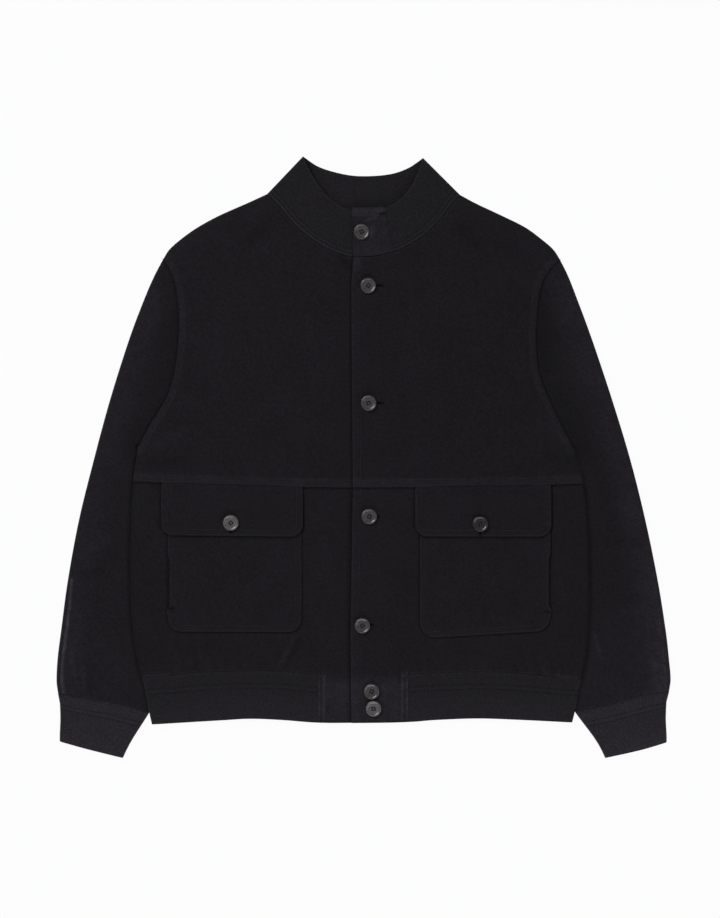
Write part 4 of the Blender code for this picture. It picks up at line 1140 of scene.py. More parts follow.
def pieced(plan, row):
    """The plan with one of its rows laid on the seam that joins the sleeve's two skins, and those below it
    and a stretch of those above moved along their columns with it."""
    upper = row + PIECING_FADE
    for column, level in enumerate(mix(*PIECING_Y, shares(plan[row]))):
        line = plan[:, column].copy()
        at = lengths(line)
        stops = [0.0, at[row], at[upper], at[-1]]
        moved = [0.0, np.interp(level, line[:, 1], at), at[upper], at[-1]]
        plan[:, column] = along(line, np.interp(at, stops, moved))
    return plan


def sleeve_sewing(side, plan):
    sewn = Sewn()
    way = way_of(side)
    sewn.seam(side.armhole, "sleeve_armhole")
    sewn.seam(side.sleeve_inner[: SLEEVE_STEPS + 1], "sleeve_inner")
    sewn.seam(side.sleeve_outer, f"sleeve_outer_{side.name}")
    sewn.seam(plan[0], f"sleeve_end_{side.name}")
    sewn.seam(plan[0], "cuff_seam")
    sewn.rows.append(beside(plan[0], way * BAND_ROW))
    fold = plan[:, 0]
    fold = fold[fold[:, 1] < SLEEVE_SEAM_TOP]
    shift_y, shift_length = SLEEVE_SEAM_SHIFT
    inset = mix(*SLEEVE_SEAM_INSET, ease((fold[:, 1] - shift_y) / shift_length))[:, None]
    seam = fold + np.concatenate([way * inset, 0 * inset], 1)
    sewn.seam(seam, "sleeve_seam")
    rim = seam[seam[:, 1] < SLEEVE_RIM_TOP[side.name]] - [way * SLEEVE_RIM_BESIDE, 0]
    sewn.seam(rim, f"sleeve_rim_{side.name}")
    if side.name == "left":
        sewn.seam(plan[PIECING_ROW, :PIECING_SHOWN], "piecing")
    return sewn


def sleeve_height(side, cuff_seam, xy):
    off = from_folds(xy, side.folds)[0]
    loose = SLEEVE_DRAPE * drape(xy) + creased(xy) + puckers(xy, cuff_seam, *CUFF_PUCKERS)
    return top_height(xy, off, cuff_seam) + loose * quarter_turn(off)


def sleeve(side):
    """The top sleeve, which on the left is pieced from two skins, and the under sleeve."""
    plan = sleeve_plan(side)
    if side.name == "left":
        plan = pieced(plan, PIECING_ROW)
    seam_row = plan[0].copy()
    sewn = sleeve_sewing(side, plan)
    name = f"sleeve_{side.name}"
    layers = {f"{name}_under": plan[::2]}
    if side.name == "right":
        tops = {"top": plan}
    else:
        low = plan[: PIECING_ROW + 1].copy()
        low[-1, :, 1] -= SEAM_OPEN
        tops = {"top_lower": low, "top_upper": plan[PIECING_ROW:]}
    for top, part in tops.items():
        layers[f"{name}_{top}"] = finer(finer(part, 0, *SLEEVE_FINER_ROWS[top]), 1, SLEEVE_FINER)
    for node, part in layers.items():
        off, way_in = turned_in(part, side.folds)
        if np.allclose(part[-1, 0], part[-1, -1]):
            way_in[-1] = way_in[-2, way_in.shape[1] // 2]
        if node.endswith("under"):
            thing, outer_side = panel(node, part, under_height(off), off, way_in, -1)
            cloth(node)
            continue
        relief = sewn.relief(part) * quarter_turn(off)
        z = sleeve_height(side, seam_row, part)
        # The puckers are painted lighter on their ridges and darker in their hollows, as painted shade.
        nap = sewn.nap(part) * (1 + PAINTED_RELIEF_SHADE * puckers(part, seam_row, *CUFF_PUCKERS))
        thing, outer_side = panel(node, part, z, off, way_in, 1, relief, nap=nap)
        cloth(node)
    return name, sewn, lambda xy: sleeve_height(side, seam_row, xy) + sewn.relief(xy), side.folds


# Bands of knit

def half_turn(tip, front_way, back_way, radius, inset):
    """A band's turn over its fold, from the top layer down, in line with the back from halfway. Its inner
    side, which keeps clear of the fold, swings over to the back's line before that."""
    angle = np.linspace(math.pi / 2, -math.pi / 2, 2 * ARC_STEPS + 1)[:, None]
    swing = np.minimum(1 - np.sin(angle), 1) if inset else angle <= 0
    way = unit(mix(front_way, back_way, swing))
    xy = tip + way * (radius - (radius - inset) * np.cos(angle))
    return with_height(xy, (radius + (radius - inset) * np.sin(angle))[:, 0])


def past_turn(line, radius):
    """A line with its first point kept, and the others moved on past the turn of the fold there."""
    at = lengths(line)
    moved = mix(radius + KNIT_STEP, at[-1], (at[1:] - at[1]) / (at[-1] - at[1]))
    return along(line, np.concatenate([[0.0], moved]))


def band_row(fronts, back_line, heights, radius, inset):
    """One row of a flattened band: along one front to its fold, round, along the back, round, and on.

    Each front starts at its fold, and the back runs from the first fold to the second. Only the part past
    the fold's turn is used."""
    back_line = past_turn(past_turn(back_line, radius)[::-1], radius)[::-1]
    turns = []
    for front, behind in zip(fronts, (back_line, back_line[::-1])):
        ways = unit(front[1] - front[0]), unit(behind[1] - behind[0])
        turns.append(half_turn(front[0], *ways, radius, inset))
    tops = [with_height(front[1:], z - inset) for front, z in zip(fronts, heights)]
    behind = with_height(back_line[1:-1], inset)
    return np.vstack([tops[0][::-1], turns[0], behind, turns[1][::-1], tops[1]])


def normals(grid, wrap):
    """Which way each point of a grid faces."""
    padded = np.concatenate([grid[:, -1:], grid, grid[:, :1]], 1) if wrap else grid
    across = np.gradient(padded, axis=1)
    across = across[:, 1:-1] if wrap else across
    return unit(np.cross(across, np.gradient(grid, axis=0)))


def band(name, rows, depths, tucks, tones, wrap=False):
    """A band of knit from its rows, with ribs across it and tucks along it. depths are the rows' distances
    from the seam, and the last argument is the painted light and shade that make the knit lighter or darker
    there: distance, change, half width."""
    outer, inner = (np.array([band_row(*row, inset) for row in rows]) for inset in (0.0, KNIT))
    ring = np.concatenate([outer, outer[:, :1]], 1) if wrap else outer
    chord = np.linalg.norm(np.diff(ring, axis=1), axis=2)
    run = np.concatenate([[0.0], chord.mean(0).cumsum()])
    whole = run[-1]
    run = run[: outer.shape[1]]
    pitch = whole / round(whole / RIB_PITCH)
    rib = np.cos(2 * math.pi * run / pitch)[None, :, None]
    depth = np.asarray(depths)[:, None, None]
    tuck = sum(TUCK_DEPTH * bump(depth - at, TUCK_WIDTH) for at in tucks)
    from_ends = (bump(depth - depths[-1], EDGE_WIDTH), bump(depth - depths[0], EDGE_WIDTH))
    end = EDGE_ROUND * (from_ends[0] + SEAM_ROUND_SHARE * from_ends[1])
    facing = normals(outer, wrap)
    facing *= np.sign((facing * (outer - inner)).sum())
    flat = np.abs(facing[..., 2:]) ** 2
    rib = rib * mix(RIB_UPRIGHT, 1.0, flat) * (1 - bump(depth - depths[-1], RIB_END))
    outer = outer + facing * (RIB_HEIGHT * (rib - flat) - (tuck + end) * flat)
    around = np.stack(np.broadcast_arrays(run[None, :] * RIB_PITCH / pitch, np.asarray(depths)[:, None]), -1)
    # Painted shade in the tucks, and the band's painted lighter and darker lines.
    light = 1 - TUCK_SHADE * tuck[..., 0] / TUCK_DEPTH + np.zeros(outer.shape[:2])
    for at, change, width in tones:
        light = light * (1 + change * bump(depth[..., 0] - at, width))
    thing = shell(name, outer, inner, KNIT_LOOK, wrap=wrap, around=around, nap=light)
    cloth(name)


def settled(front, radius, level):
    """A band's height from its fold on: a little proud, then settling to its level."""
    return mix(2 * radius, level, ease((lengths(front)[1:] - radius) / KNIT_SETTLE))


def row_shares(depth, tucks):
    """Row positions across a band: closer at its edges and at its tucks, as distances and as shares."""
    fine = [BAND_START, *EDGE_ROWS_AT, *(depth - off for off in EDGE_ROWS_AT[::-1]), depth]
    fine += [at + off for at in tucks for off in TUCK_ROWS_AT]
    even = np.arange(EVEN_ROWS["first"], depth - EVEN_ROWS["from_edge"], EVEN_ROWS["pitch"])
    stations = sorted(fine + [y for y in even if min(abs(y - f) for f in fine) > EVEN_ROWS["apart"]])
    return np.array(stations), np.array(stations) / depth


def steps_for(line):
    return max(int(lengths(line)[-1] / KNIT_STEP), 4)


def cuff(side):
    """The cuff, a flattened tube."""
    seam = sleeve_plan(side)[0]
    seam = divided(seam, 0, lengths(seam)[-1], steps_for(seam))
    rim = like(smooth(CUFF_EDGE[side.name]), seam)
    middle = len(seam) // 2
    depths, parts = row_shares(CUFF_DEPTH, CUFF_TUCKS)
    rows = []
    for share in parts:
        line = mix(seam, rim, share)
        bow = CUFF_BOW[side.name] * math.sin(math.pi * max(share, 0.0) ** CUFF_BOW_POWER)
        line = line[0] + (line - line[0]) * (1 - bow / np.linalg.norm(line[-1] - line[0]))
        step = CUFF_STEP[side.name] * ease(share / CUFF_STEP_COMES)
        step = step * (1 - ease((share - CUFF_STEP_STAYS) / CUFF_STEP_GOES))
        line = line[-1] + (line - line[-1]) * (1 - step / np.linalg.norm(line[-1] - line[0]))
        fronts = [past_turn(front, KNIT_RADIUS) for front in (line[: middle + 1], line[:middle:-1])]
        heights = [settled(front, KNIT_RADIUS, KNIT_TOP) for front in fronts]
        rows.append((fronts, line, heights, KNIT_RADIUS))
    band(f"cuff_{side.name}", rows, depths, CUFF_TUCKS, CUFF_PAINTED_LIGHT, wrap=True)


def hem_band(right, left):
    """The hem band, from the right front's suede end round the back to the left front's."""
    seam, hem = smooth(BAND_SEAM), smooth(HEM)
    depths, parts = row_shares(HEM_DEPTH, HEM_TUCKS)
    front_steps, back_steps = int(HEM_FRONT_LENGTH / KNIT_STEP), int(HEM_BACK_LENGTH / KNIT_STEP)
    rows = []
    for share in parts:
        folds = [side.band_fold for side in (right, left)]
        tips = [along(fold, [(1 - share) * lengths(fold)[-1]])[0] for fold in folds]
        line = pinned(mix(seam, like(hem, seam), share), *tips)
        fronts = []
        for side, own in ((right, line), (left, line[::-1])):
            end = reach(own, 0, BAND_END_X[side.name] - way_of(side) * SEAM_OPEN)
            fronts.append(past_turn(divided(own, 0, end, front_steps), KNIT_RADIUS))
        heights = [settled(front, KNIT_RADIUS, KNIT_TOP) for front in fronts]
        rows.append((fronts, divided(line, 0, lengths(line)[-1], back_steps), heights, KNIT_RADIUS))
    band("hem_band", rows, depths, HEM_TUCKS, HEM_PAINTED_LIGHT)


def collar_front(side):
    """The seam and the upper edge of one front of the collar, with the same stations."""
    neck = smooth(NECK_SEAM[side.name])
    end = lengths(neck)[-1] if side.name == "right" else reach(neck, 0, LAP_END_X)
    seam = divided(neck, 0, end, int(end / KNIT_STEP))
    return seam, like(smooth(COLLAR_TOP[side.name]), seam)


def collar(right, left):
    """The collar band, from its hidden right end round the back of the neck to the suede tab."""
    low = smooth(BACK_NECK)
    low = divided(low, 0, lengths(low)[-1], steps_for(low))
    high = like(smooth(COLLAR_BACK_TOP), low)
    edges = [(side, *collar_front(side)) for side in (right, left)]
    depths, parts = row_shares(COLLAR_DEPTH, COLLAR_TUCKS)
    rows = []
    for share in parts:
        radius = mix(*COLLAR_RADIUS, share)
        fronts, heights = [], []
        for side, seam, top in edges:
            front = past_turn(mix(seam, top, share), radius)
            from_end = lengths(front)[-1] - lengths(front)[1:]
            level = settled(front, radius, mix(*COLLAR_FRONT_TOP, share))
            end_level = mix(*COLLAR_UNDER_TOP, share) + COLLAR_OVER[side.name]
            risen = ease((from_end - COLLAR_END_KEPT[side.name]) / COLLAR_END_SLOPE)
            fronts.append(front)
            heights.append(mix(end_level, level, risen))
        rows.append((fronts, mix(low, high, share), heights, radius))
    band("collar_band", rows, depths, COLLAR_TUCKS, COLLAR_PAINTED_LIGHT)


# Pieces that lie on others

def patch_plan(outer, inner, top, low_outer, low_inner, corner):
    """A patch with two round lower corners, each of them shared between its two edges."""
    inward = math.copysign(1, inner - outer)
    bend = np.linspace(0, math.pi / 4, CORNER_STEPS + 1)

    def arc(x, y, way, angles):
        return np.stack([x + way * corner * (1 - np.cos(angles)), y + corner * (1 - np.sin(angles))], 1)

    side = np.vstack([arc(outer, low_outer, inward, bend[::-1]), [(outer, top)]])
    middle = np.vstack([arc(inner, low_inner, -inward, bend[::-1]), [(inner, top)]])
    low_bend = math.pi / 2 - bend
    low_middle = arc(inner, low_inner, -inward, low_bend)
    bottom = np.vstack([arc(outer, low_outer, inward, low_bend[::-1]), low_middle])
    upper = np.array([(outer, top), (inner, top)])
    rows, columns = (np.linspace(0, 1, steps + 1)[:, None] for steps in (PATCH_ROWS, PATCH_COLUMNS))
    side, middle = (like(line, rows) for line in (side, middle))
    bottom, upper = (like(line, columns) for line in (bottom, upper))
    return filled(bottom, upper, side, middle)


def patch_edge(plan):
    """A patch's free edge: down its outer side, along its lower edge and up its inner side."""
    return np.vstack([plan[::-1, 0], plan[0, 1:-1], plan[:, -1]])


def with_mouth(plan, outer, inner):
    """The pocket's open side, drawn in a little above the tack that ends it, with a jut at the tack."""
    x, y = plan[..., 0], plan[..., 1]
    inward = math.copysign(1, inner - outer)
    fade = bump(x - outer, MOUTH_FADE)
    drawn = MOUTH_INSET * window(y, POCKET_MOUTH_END + MOUTH_ABOVE_END, POCKET_MOUTH_TOP, MOUTH_SOFT)
    jut = MOUTH_JUT * bump(y - POCKET_MOUTH_END + JUT_BELOW_END, JUT_WIDTH)
    plan[..., 0] += inward * fade * (drawn - jut)
    return plan


def pocket_puff(xy, name):
    """How far the pocket stands proud of its edges."""
    outer, inner, _, low_outer, low_inner, _ = POCKET[name]
    left, right = sorted((outer, inner))
    from_sides = np.minimum(xy[..., 0] - left, right - xy[..., 0])
    from_ends = xy[..., 1] - min(low_outer, low_inner)
    return POCKET_PUFF * ease(np.minimum(from_sides, from_ends) / POCKET_PUFF_REACH)


def patch_sewing(side, edge):
    sewn = Sewn()
    sewn.rows += [beside(edge, way_of(side) * off) for off in PATCH_EDGE_ROWS]
    sewn.seam(edge, "patch_edge")
    return sewn


def patch(side, name, table, height):
    plan = patch_plan(*table)
    if name.startswith("flap"):
        chest = side.chest[np.argsort(side.chest[:, 0])]
        plan[-1, :, 1] = np.interp(plan[-1, :, 0], *chest.T) + FLAP_TUCKED
    else:
        plan = with_mouth(plan, *table[:2])
    edge = patch_edge(plan)
    plan = finer(finer(plan, 0, *PATCH_FINER_ROWS), 1, *PATCH_FINER_COLUMNS)
    sewn = patch_sewing(side, edge)
    if name.startswith("pocket"):
        sewn.seam(patch_edge(patch_plan(*FLAP[side.name])), "under_flap")
    z = height(plan)
    outer = with_height(plan, z + sewn.relief(plan))
    thing = shell(name, outer, with_height(plan, z - PATCH), SUEDE_LOOK, nap=sewn.nap(plan))
    cloth(name)
    return name, sewn, lambda xy: height(xy) + sewn.relief(xy), None


def pocket(side):
    outer, _, top, *_ = POCKET[side.name]

    def height(xy):
        mouth = window(xy[..., 1], POCKET_MOUTH_END, top - POCKET_MOUTH_BELOW, POCKET_MOUTH_SOFT)
        open_side = bump(xy[..., 0] - outer, POCKET_MOUTH_WIDTH) * mouth
        puff = pocket_puff(xy, side.name) + POCKET_MOUTH_LIFT * open_side + POCKET_CREASED * creased(xy)
        return lower_height(side, xy) + SEAM_GAP + PATCH + puff

    return patch(side, f"pocket_{side.name}", POCKET[side.name], height)


def flap(side):
    """The flap, held in the chest seam and lifted over the pocket's upper edge."""
    chest = side.chest[np.argsort(side.chest[:, 0])]

    def height(xy):
        from_top = np.interp(xy[..., 0], *chest.T) - xy[..., 1]
        lift = ease(from_top / FLAP_LIFT_LENGTH)
        return lower_height(side, xy) + (SEAM_GAP + PATCH) * (1 + lift) + pocket_puff(xy, side.name)

    return patch(side, f"flap_{side.name}", FLAP[side.name], height)


def collar_tab():
    """The suede end of the collar's left front, buttoned over the right one."""
    neck = smooth(NECK_SEAM["left"])
    columns, rows = COLLAR_TAB_STEPS
    start = reach(neck, 0, LAP_END_X) + SEAM_GAP
    seam = divided(neck, start, lengths(neck)[-1], columns)
    upper = like(np.array(COLLAR_TAB_UPPER_EDGE), seam)
    share = np.linspace(0, 1, rows)[:, None]
    plan = mix(seam[None], upper[None], share[..., None])
    top = mix(*COLLAR_UNDER_TOP, share) + COLLAR_OVER["left"]
    sewn = Sewn()
    edge = np.vstack([plan[:, 0], plan[-1, 1:-1], plan[::-1, -1]])
    sewn.rows.append(beside(edge, TAB_ROW))
    sewn.seam(edge, "tab_edge")
    sewn.seam(plan[-1], "tab_top")
    sewn.seam(plan[0], "tab_foot")

    def level(xy):
        return np.interp(xy[..., 1], COLLAR_TAB_Y, [top[0, 0], top[-1, 0]])

    def height(xy):
        crease = sum(high * bump(near(xy, np.array(ends)), width) for *ends, high, width in TAB_CREASES)
        return level(xy) + crease

    outer = with_height(plan, height(plan) + sewn.relief(plan))
    inner = with_height(plan, top - SUEDE)
    # The tab's creases are painted lighter on their ridges and darker in their troughs, as painted shade.
    nap = sewn.nap(plan) * (1 + PAINTED_RELIEF_SHADE * (height(plan) - level(plan)))
    thing = shell("collar_tab", outer, inner, SUEDE_LOOK, nap=nap)
    cloth("collar_tab")
    return "collar_tab", sewn, lambda xy: height(xy) + sewn.relief(xy), None


# Sewing

def threads(name, places, material):
    """Stitches as small tapered threads: each place is its middle, its direction and its half length."""
    middle, way, half = (np.array(each) for each in zip(*places))
    up = np.array([0.0, 0.0, 1.0])
    way = unit(way)
    across = unit(np.cross(up, way))
    normal = np.cross(way, across)
    points, width = [], STITCH["half_width"]
    for share, size, rise in STITCH_RINGS:
        centre = middle + way * (half * share)[:, None] + normal * rise
        for turn in range(4 if size else 1):
            angle = turn * math.pi / 2
            points.append(centre + size * width * (across * math.cos(angle) + normal * math.sin(angle)))
    block = np.stack(points, 1)
    faces = [(0, 1 + (k + 1) % 4, 1 + k) for k in range(4)]
    for ring in (1, 5):
        faces += [(ring + k, ring + (k + 1) % 4, ring + 4 + (k + 1) % 4, ring + 4 + k) for k in range(4)]
    faces += [(9 + k, 9 + (k + 1) % 4, 13) for k in range(4)]
    count = len(middle)
    mesh = bpy.data.meshes.new(name)
    all_points = (block.reshape(-1, 3) + [*CENTRE * -1, 0]) * MM
    all_faces = [tuple(v + block.shape[1] * k for v in face) for k in range(count) for face in faces]
    mesh.from_pydata(all_points.tolist(), [], all_faces)
    piece(name, facing_out(mesh), material)


def stitched(name, sewn, height, folds):
    """The rows of stitching of one piece, as threads lying on it."""
    places = []
    for line in sewn.rows:
        if folds:
            line = line[from_folds(line, folds)[0] > STITCH_FREE]
        total = lengths(line)[-1]
        count = max(int(total / STITCH["pitch"]), 1)
        at = (np.arange(count) + 0.5) * total / count
        half = STITCH["length"] / 2
        start, middle, end = (along(line, at + shift) for shift in (-half, 0, half))
        tall = [with_height(points, height(points)) for points in (start, middle, end)]
        ways = tall[2] - tall[0]
        places += [(m, w, half) for m, w in zip(tall[1], ways)]
    threads(f"stitches_{name}", places, THREAD_LOOK)


def axes(turn):
    """The direction at this angle in radians, and the one square to it."""
    way = np.array([math.cos(turn), math.sin(turn)])
    return way, np.array([-way[1], way[0]])


def lying(middle, height, lift, way, half):
    """A stitch on the cloth: its middle, its direction and its half length."""
    middle = middle[None]
    return with_height(middle, height(middle) + lift)[0], np.array([*way, 0.0]), half


def tack(name, x, y, turn, height, length, material):
    """A bar tack: close stitches across a short line."""
    way, over = axes(turn)
    count = int(length / TACK["pitch"])
    middles = [np.array([x, y]) + way * (k / (count - 1) - 0.5) * length for k in range(count)]
    threads(name, [lying(middle, height, TACK["lift"], over, TACK["half"]) for middle in middles], material)


def buttonhole(name, x, y, turn, height, length):
    """A buttonhole: two welts of close stitches beside a slit, with a bar at each end."""
    centre = np.array([x, y])
    way, over = axes(turn)
    places = []
    count = int(length / WELT["pitch"])
    for k in range(count):
        for side in (-1, 1):
            middle = centre + way * (k / (count - 1) - 0.5) * length + over * side * WELT["from_slit"]
            places.append(lying(middle, height, WELT["lift"], over, WELT["half"]))
    bar = HOLE_BAR["half_width"]
    for end in (-1, 1):
        for step in np.linspace(-bar, bar, HOLE_BAR["stitches"]):
            middle = centre + way * end * (length / 2 + HOLE_BAR["beyond"]) + over * step
            places.append(lying(middle, height, WELT["lift"], way, HOLE_BAR["half"]))
    threads(name, places, DARK_THREAD_LOOK)
    slit(f"{name}_slit", centre, way, over, length, height)


def slit(name, middle, way, over, length, height):
    """The mouth of a buttonhole, a little below its welts, as a near-black sheet: painted shadow."""
    share = np.linspace(-0.5, 0.5, HOLE_SLIT["stations"])[:, None]
    half = HOLE_SLIT["half_width"] * np.sqrt(np.clip(1 - (2 * share) ** 4, HOLE_SLIT["end"], 1))
    line = middle + way * share * length
    edges = np.stack([line - over * half, line + over * half], 1)
    z = height(edges) + HOLE_SLIT["thick"]
    shell(name, with_height(edges, z), with_height(edges, z - HOLE_SLIT["thick"]), PAINTED_SLIT_SHADOW_LOOK)


# Buttons

def button_mesh():
    """A turned button with a rounded rim, a dish and four holes."""
    work = bmesh.new()
    profile = [work.verts.new((radius * MM, 0, z * MM)) for radius, z in BUTTON_PROFILE]
    edges = [work.edges.new(pair) for pair in zip(profile, profile[1:])]
    bmesh.ops.spin(
        work, geom=profile + edges, axis=(0, 0, 1), cent=(0, 0, 0),
        angle=2 * math.pi, steps=BUTTON_SEGMENTS, use_merge=True,
    )
    bmesh.ops.remove_doubles(work, verts=work.verts, dist=1e-6)
    bmesh.ops.recalc_face_normals(work, faces=work.faces)
    mesh = bpy.data.meshes.new("button")
    work.to_mesh(mesh)
    work.clear()
    for k in range(4):
        turn = math.pi / 4 + k * math.pi / 2
        cut = bmesh.ops.create_cone(
            work, cap_ends=True, segments=HOLE_SEGMENTS, depth=BUTTON_HOLE["cut"] * MM,
            radius1=BUTTON_HOLE["radius"] * MM, radius2=BUTTON_HOLE["radius"] * MM,
        )
        place = np.array([math.cos(turn), math.sin(turn), 0]) * BUTTON_HOLE["from_middle"] * MM
        bmesh.ops.translate(work, verts=cut["verts"], vec=place)
    holes = bpy.data.meshes.new("button_holes")
    work.to_mesh(holes)
    work.free()
    blank, cutter = (bpy.data.objects.new("blank", data) for data in (mesh, holes))
    for thing in (blank, cutter):
        bpy.context.scene.collection.objects.link(thing)
    boolean = blank.modifiers.new("holes", "BOOLEAN")
    boolean.operation = "DIFFERENCE"
    boolean.object = cutter
    made = bpy.data.meshes.new_from_object(blank.evaluated_get(bpy.context.evaluated_depsgraph_get()))
    for thing in (blank, cutter):
        bpy.data.objects.remove(thing)
    made.materials.clear()
    made.shade_smooth()
    made.set_sharp_from_angle(angle=BUTTON_SHARP_ANGLE)
    return made


def button_thread(name, middle, low, turn):
    """The thread through a button's holes, in two parallel runs, and the shank under it."""
    way, over = axes(turn)
    run, shank = BUTTON_RUN, BUTTON_SHANK
    places = []
    for side in (-1, 1):
        for step in run["places"]:
            place = middle + over * (side * run["beside"] + step)
            places.append((np.array([*place, low + run["rise"]]), np.array([*way, 0.0]), run["half"]))
    up = np.array([shank["lean"], 0.0, 1.0])
    for k in range(shank["stitches"]):
        place = middle + shank["radius"] * axes(k * shank["turn"])[0]
        places.append((np.array([*place, low + shank["rise"]]), up, shank["half"]))
    threads(name, places, THREAD_LOOK)


def buttons():
    blank = button_mesh()
    for name, turn, tilt in BUTTONS:
        node = f"button_{name}"
        low, high = (np.array(corner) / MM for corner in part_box(node))
        middle = (low + high) / 2
        thing = piece(f"{node}_look", blank.copy(), HORN_LOOKS[HORN_OF.get(name, "horn")])
        thing.location = (middle[0] * MM, middle[1] * MM, low[2] * MM)
        thing.rotation_euler = (math.radians(tilt), math.radians(tilt / 2), math.radians(turn))
        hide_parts(node)
        button_thread(f"{node}_thread", middle[:2] + CENTRE, low[2], math.radians(turn + THREAD_TURN))


# Materials

def shader_of(name, colour, roughness, sheen=0.0, specular=0.2):
    material = bpy.data.materials.new(name)
    material.use_nodes = True
    shader = material.node_tree.nodes["Principled BSDF"]
    shader.inputs["Base Color"].default_value = (*colour, 1)
    shader.inputs["Roughness"].default_value = roughness
    shader.inputs["Sheen Weight"].default_value = sheen
    shader.inputs["Sheen Roughness"].default_value = SHEEN_ROUGHNESS
    shader.inputs["Specular IOR Level"].default_value = specular
    return material, material.node_tree, shader


def noise_of(tree, coordinates, scale, detail, roughness=0.6):
    made = tree.nodes.new("ShaderNodeTexNoise")
    made.inputs["Scale"].default_value = scale
    made.inputs["Detail"].default_value = detail
    made.inputs["Roughness"].default_value = roughness
    tree.links.new(coordinates, made.inputs["Vector"])
    return made.outputs["Fac"]


def spread(tree, value, given, wanted):
    """A value brought from one range to another."""
    made = tree.nodes.new("ShaderNodeMapRange")
    for key, number in zip(("From Min", "From Max", "To Min", "To Max"), (*given, *wanted)):
        made.inputs[key].default_value = number
    tree.links.new(value, made.inputs["Value"])
    return made.outputs["Result"]


def maths(tree, operation, a, b=0.0):
    made = tree.nodes.new("ShaderNodeMath")
    made.operation = operation
    for socket, value in zip(made.inputs, (a, b)):
        if isinstance(value, (int, float)):
            socket.default_value = value
        else:
            tree.links.new(value, socket)
    return made.outputs["Value"]


def weighted(tree, *terms):
    """The sum of two values, each times its weight."""
    return maths(tree, "ADD", *[maths(tree, "MULTIPLY", value, weight) for value, weight in terms])


def stretched(tree, place, scale):
    """Coordinates scaled along their axes, so that noise on them runs in streaks."""
    made = tree.nodes.new("ShaderNodeMapping")
    made.inputs["Scale"].default_value = scale
    tree.links.new(place, made.inputs["Vector"])
    return made.outputs["Vector"]


def shaded(tree, shader, colour, factor):
    """The base colour times a factor that varies over the surface."""
    made = tree.nodes.new("ShaderNodeVectorMath")
    made.operation = "SCALE"
    made.inputs[0].default_value = colour
    tree.links.new(factor, made.inputs["Scale"])
    tree.links.new(made.outputs["Vector"], shader.inputs["Base Color"])


def bumped(tree, shader, height, distance, strength):
    made = tree.nodes.new("ShaderNodeBump")
    made.inputs["Distance"].default_value = distance
    made.inputs["Strength"].default_value = strength
    tree.links.new(height, made.inputs["Height"])
    tree.links.new(made.outputs["Normal"], shader.inputs["Normal"])


def painted_light_of(tree, place, unevenness):
    """The painted light and shade from the mesh, with its changes uneven along their seams."""
    made = tree.nodes.new("ShaderNodeAttribute")
    made.attribute_name = "nap"
    change = maths(tree, "SUBTRACT", made.outputs["Fac"], 1.0)
    limits = 1 - unevenness, 1 + unevenness
    noise = noise_of(tree, place, scale=95.0, detail=3.0, roughness=0.6)
    uneven = spread(tree, noise, (0.32, 0.68), limits)
    return maths(tree, "ADD", maths(tree, "MULTIPLY", change, uneven), 1.0)


def suede_look(name, colour):
    """Suede: a short pile that lies in soft patches, with a fine speckle of fibres."""
    material, tree, shader = shader_of(name, colour, 0.95, SUEDE_SHEEN, CLOTH_SPECULAR)
    place = tree.nodes.new("ShaderNodeTexCoord").outputs["Object"]
    combed = stretched(tree, place, (1.0, 0.35, 1.0))
    clouds = noise_of(tree, place, scale=24.0, detail=3.0, roughness=0.55)
    patches = spread(tree, clouds, (0.3, 0.7), (0.92, 1.08))
    speckle = noise_of(tree, place, scale=330.0, detail=4.0, roughness=0.8)
    fibres = noise_of(tree, combed, scale=1300.0, detail=3.0, roughness=0.7)
    fine = weighted(tree, (speckle, 0.7), (fibres, 0.3))
    factor = maths(tree, "MULTIPLY", patches, spread(tree, fine, (0.36, 0.64), (0.55, 1.45)))
    # The base colour is multiplied by the mesh's painted light and shade.
    shaded(tree, shader, colour, maths(tree, "MULTIPLY", factor, painted_light_of(tree, place, SUEDE_UNEVEN)))
    bumped(tree, shader, fine, distance=0.0006, strength=0.55)
    return material


def knit_look(name, colour):
    """Fine rib knit: rows of small loops up each rib, and fuzz."""
    material, tree, shader = shader_of(name, colour, 0.9, KNIT_SHEEN, CLOTH_SPECULAR)
    uv = tree.nodes.new("ShaderNodeSeparateXYZ")
    tree.links.new(tree.nodes.new("ShaderNodeTexCoord").outputs["UV"], uv.inputs["Vector"])
    place = tree.nodes.new("ShaderNodeTexCoord").outputs["Object"]
    across = maths(tree, "MULTIPLY", uv.outputs["X"], 2 * math.pi / (RIB_PITCH * MM))
    rib = maths(tree, "COSINE", across)
    slant = maths(tree, "MULTIPLY", maths(tree, "ABSOLUTE", maths(tree, "SINE", across)), LOOP_SLANT)
    rows = maths(tree, "MULTIPLY", uv.outputs["Y"], 2 * math.pi / (LOOP_HEIGHT * MM))
    loop = maths(tree, "SINE", maths(tree, "ADD", rows, slant))
    fuzz = noise_of(tree, place, scale=420.0, detail=4.0, roughness=0.8)
    height = weighted(tree, (loop, 0.35), (fuzz, 1.0))
    # The ribs' crests and the loops' tops are painted lighter and their hollows darker: painted shade that
    # follows the relief.
    shade = weighted(tree, (rib, 0.17), (loop, 0.07))
    factor = maths(tree, "ADD", shade, spread(tree, fuzz, (0.36, 0.64), (0.62, 1.38)))
    # The base colour is multiplied by the mesh's painted light and shade.
    shaded(tree, shader, colour, maths(tree, "MULTIPLY", factor, painted_light_of(tree, place, KNIT_UNEVEN)))
    bumped(tree, shader, height, distance=0.0004, strength=0.5)
    return material


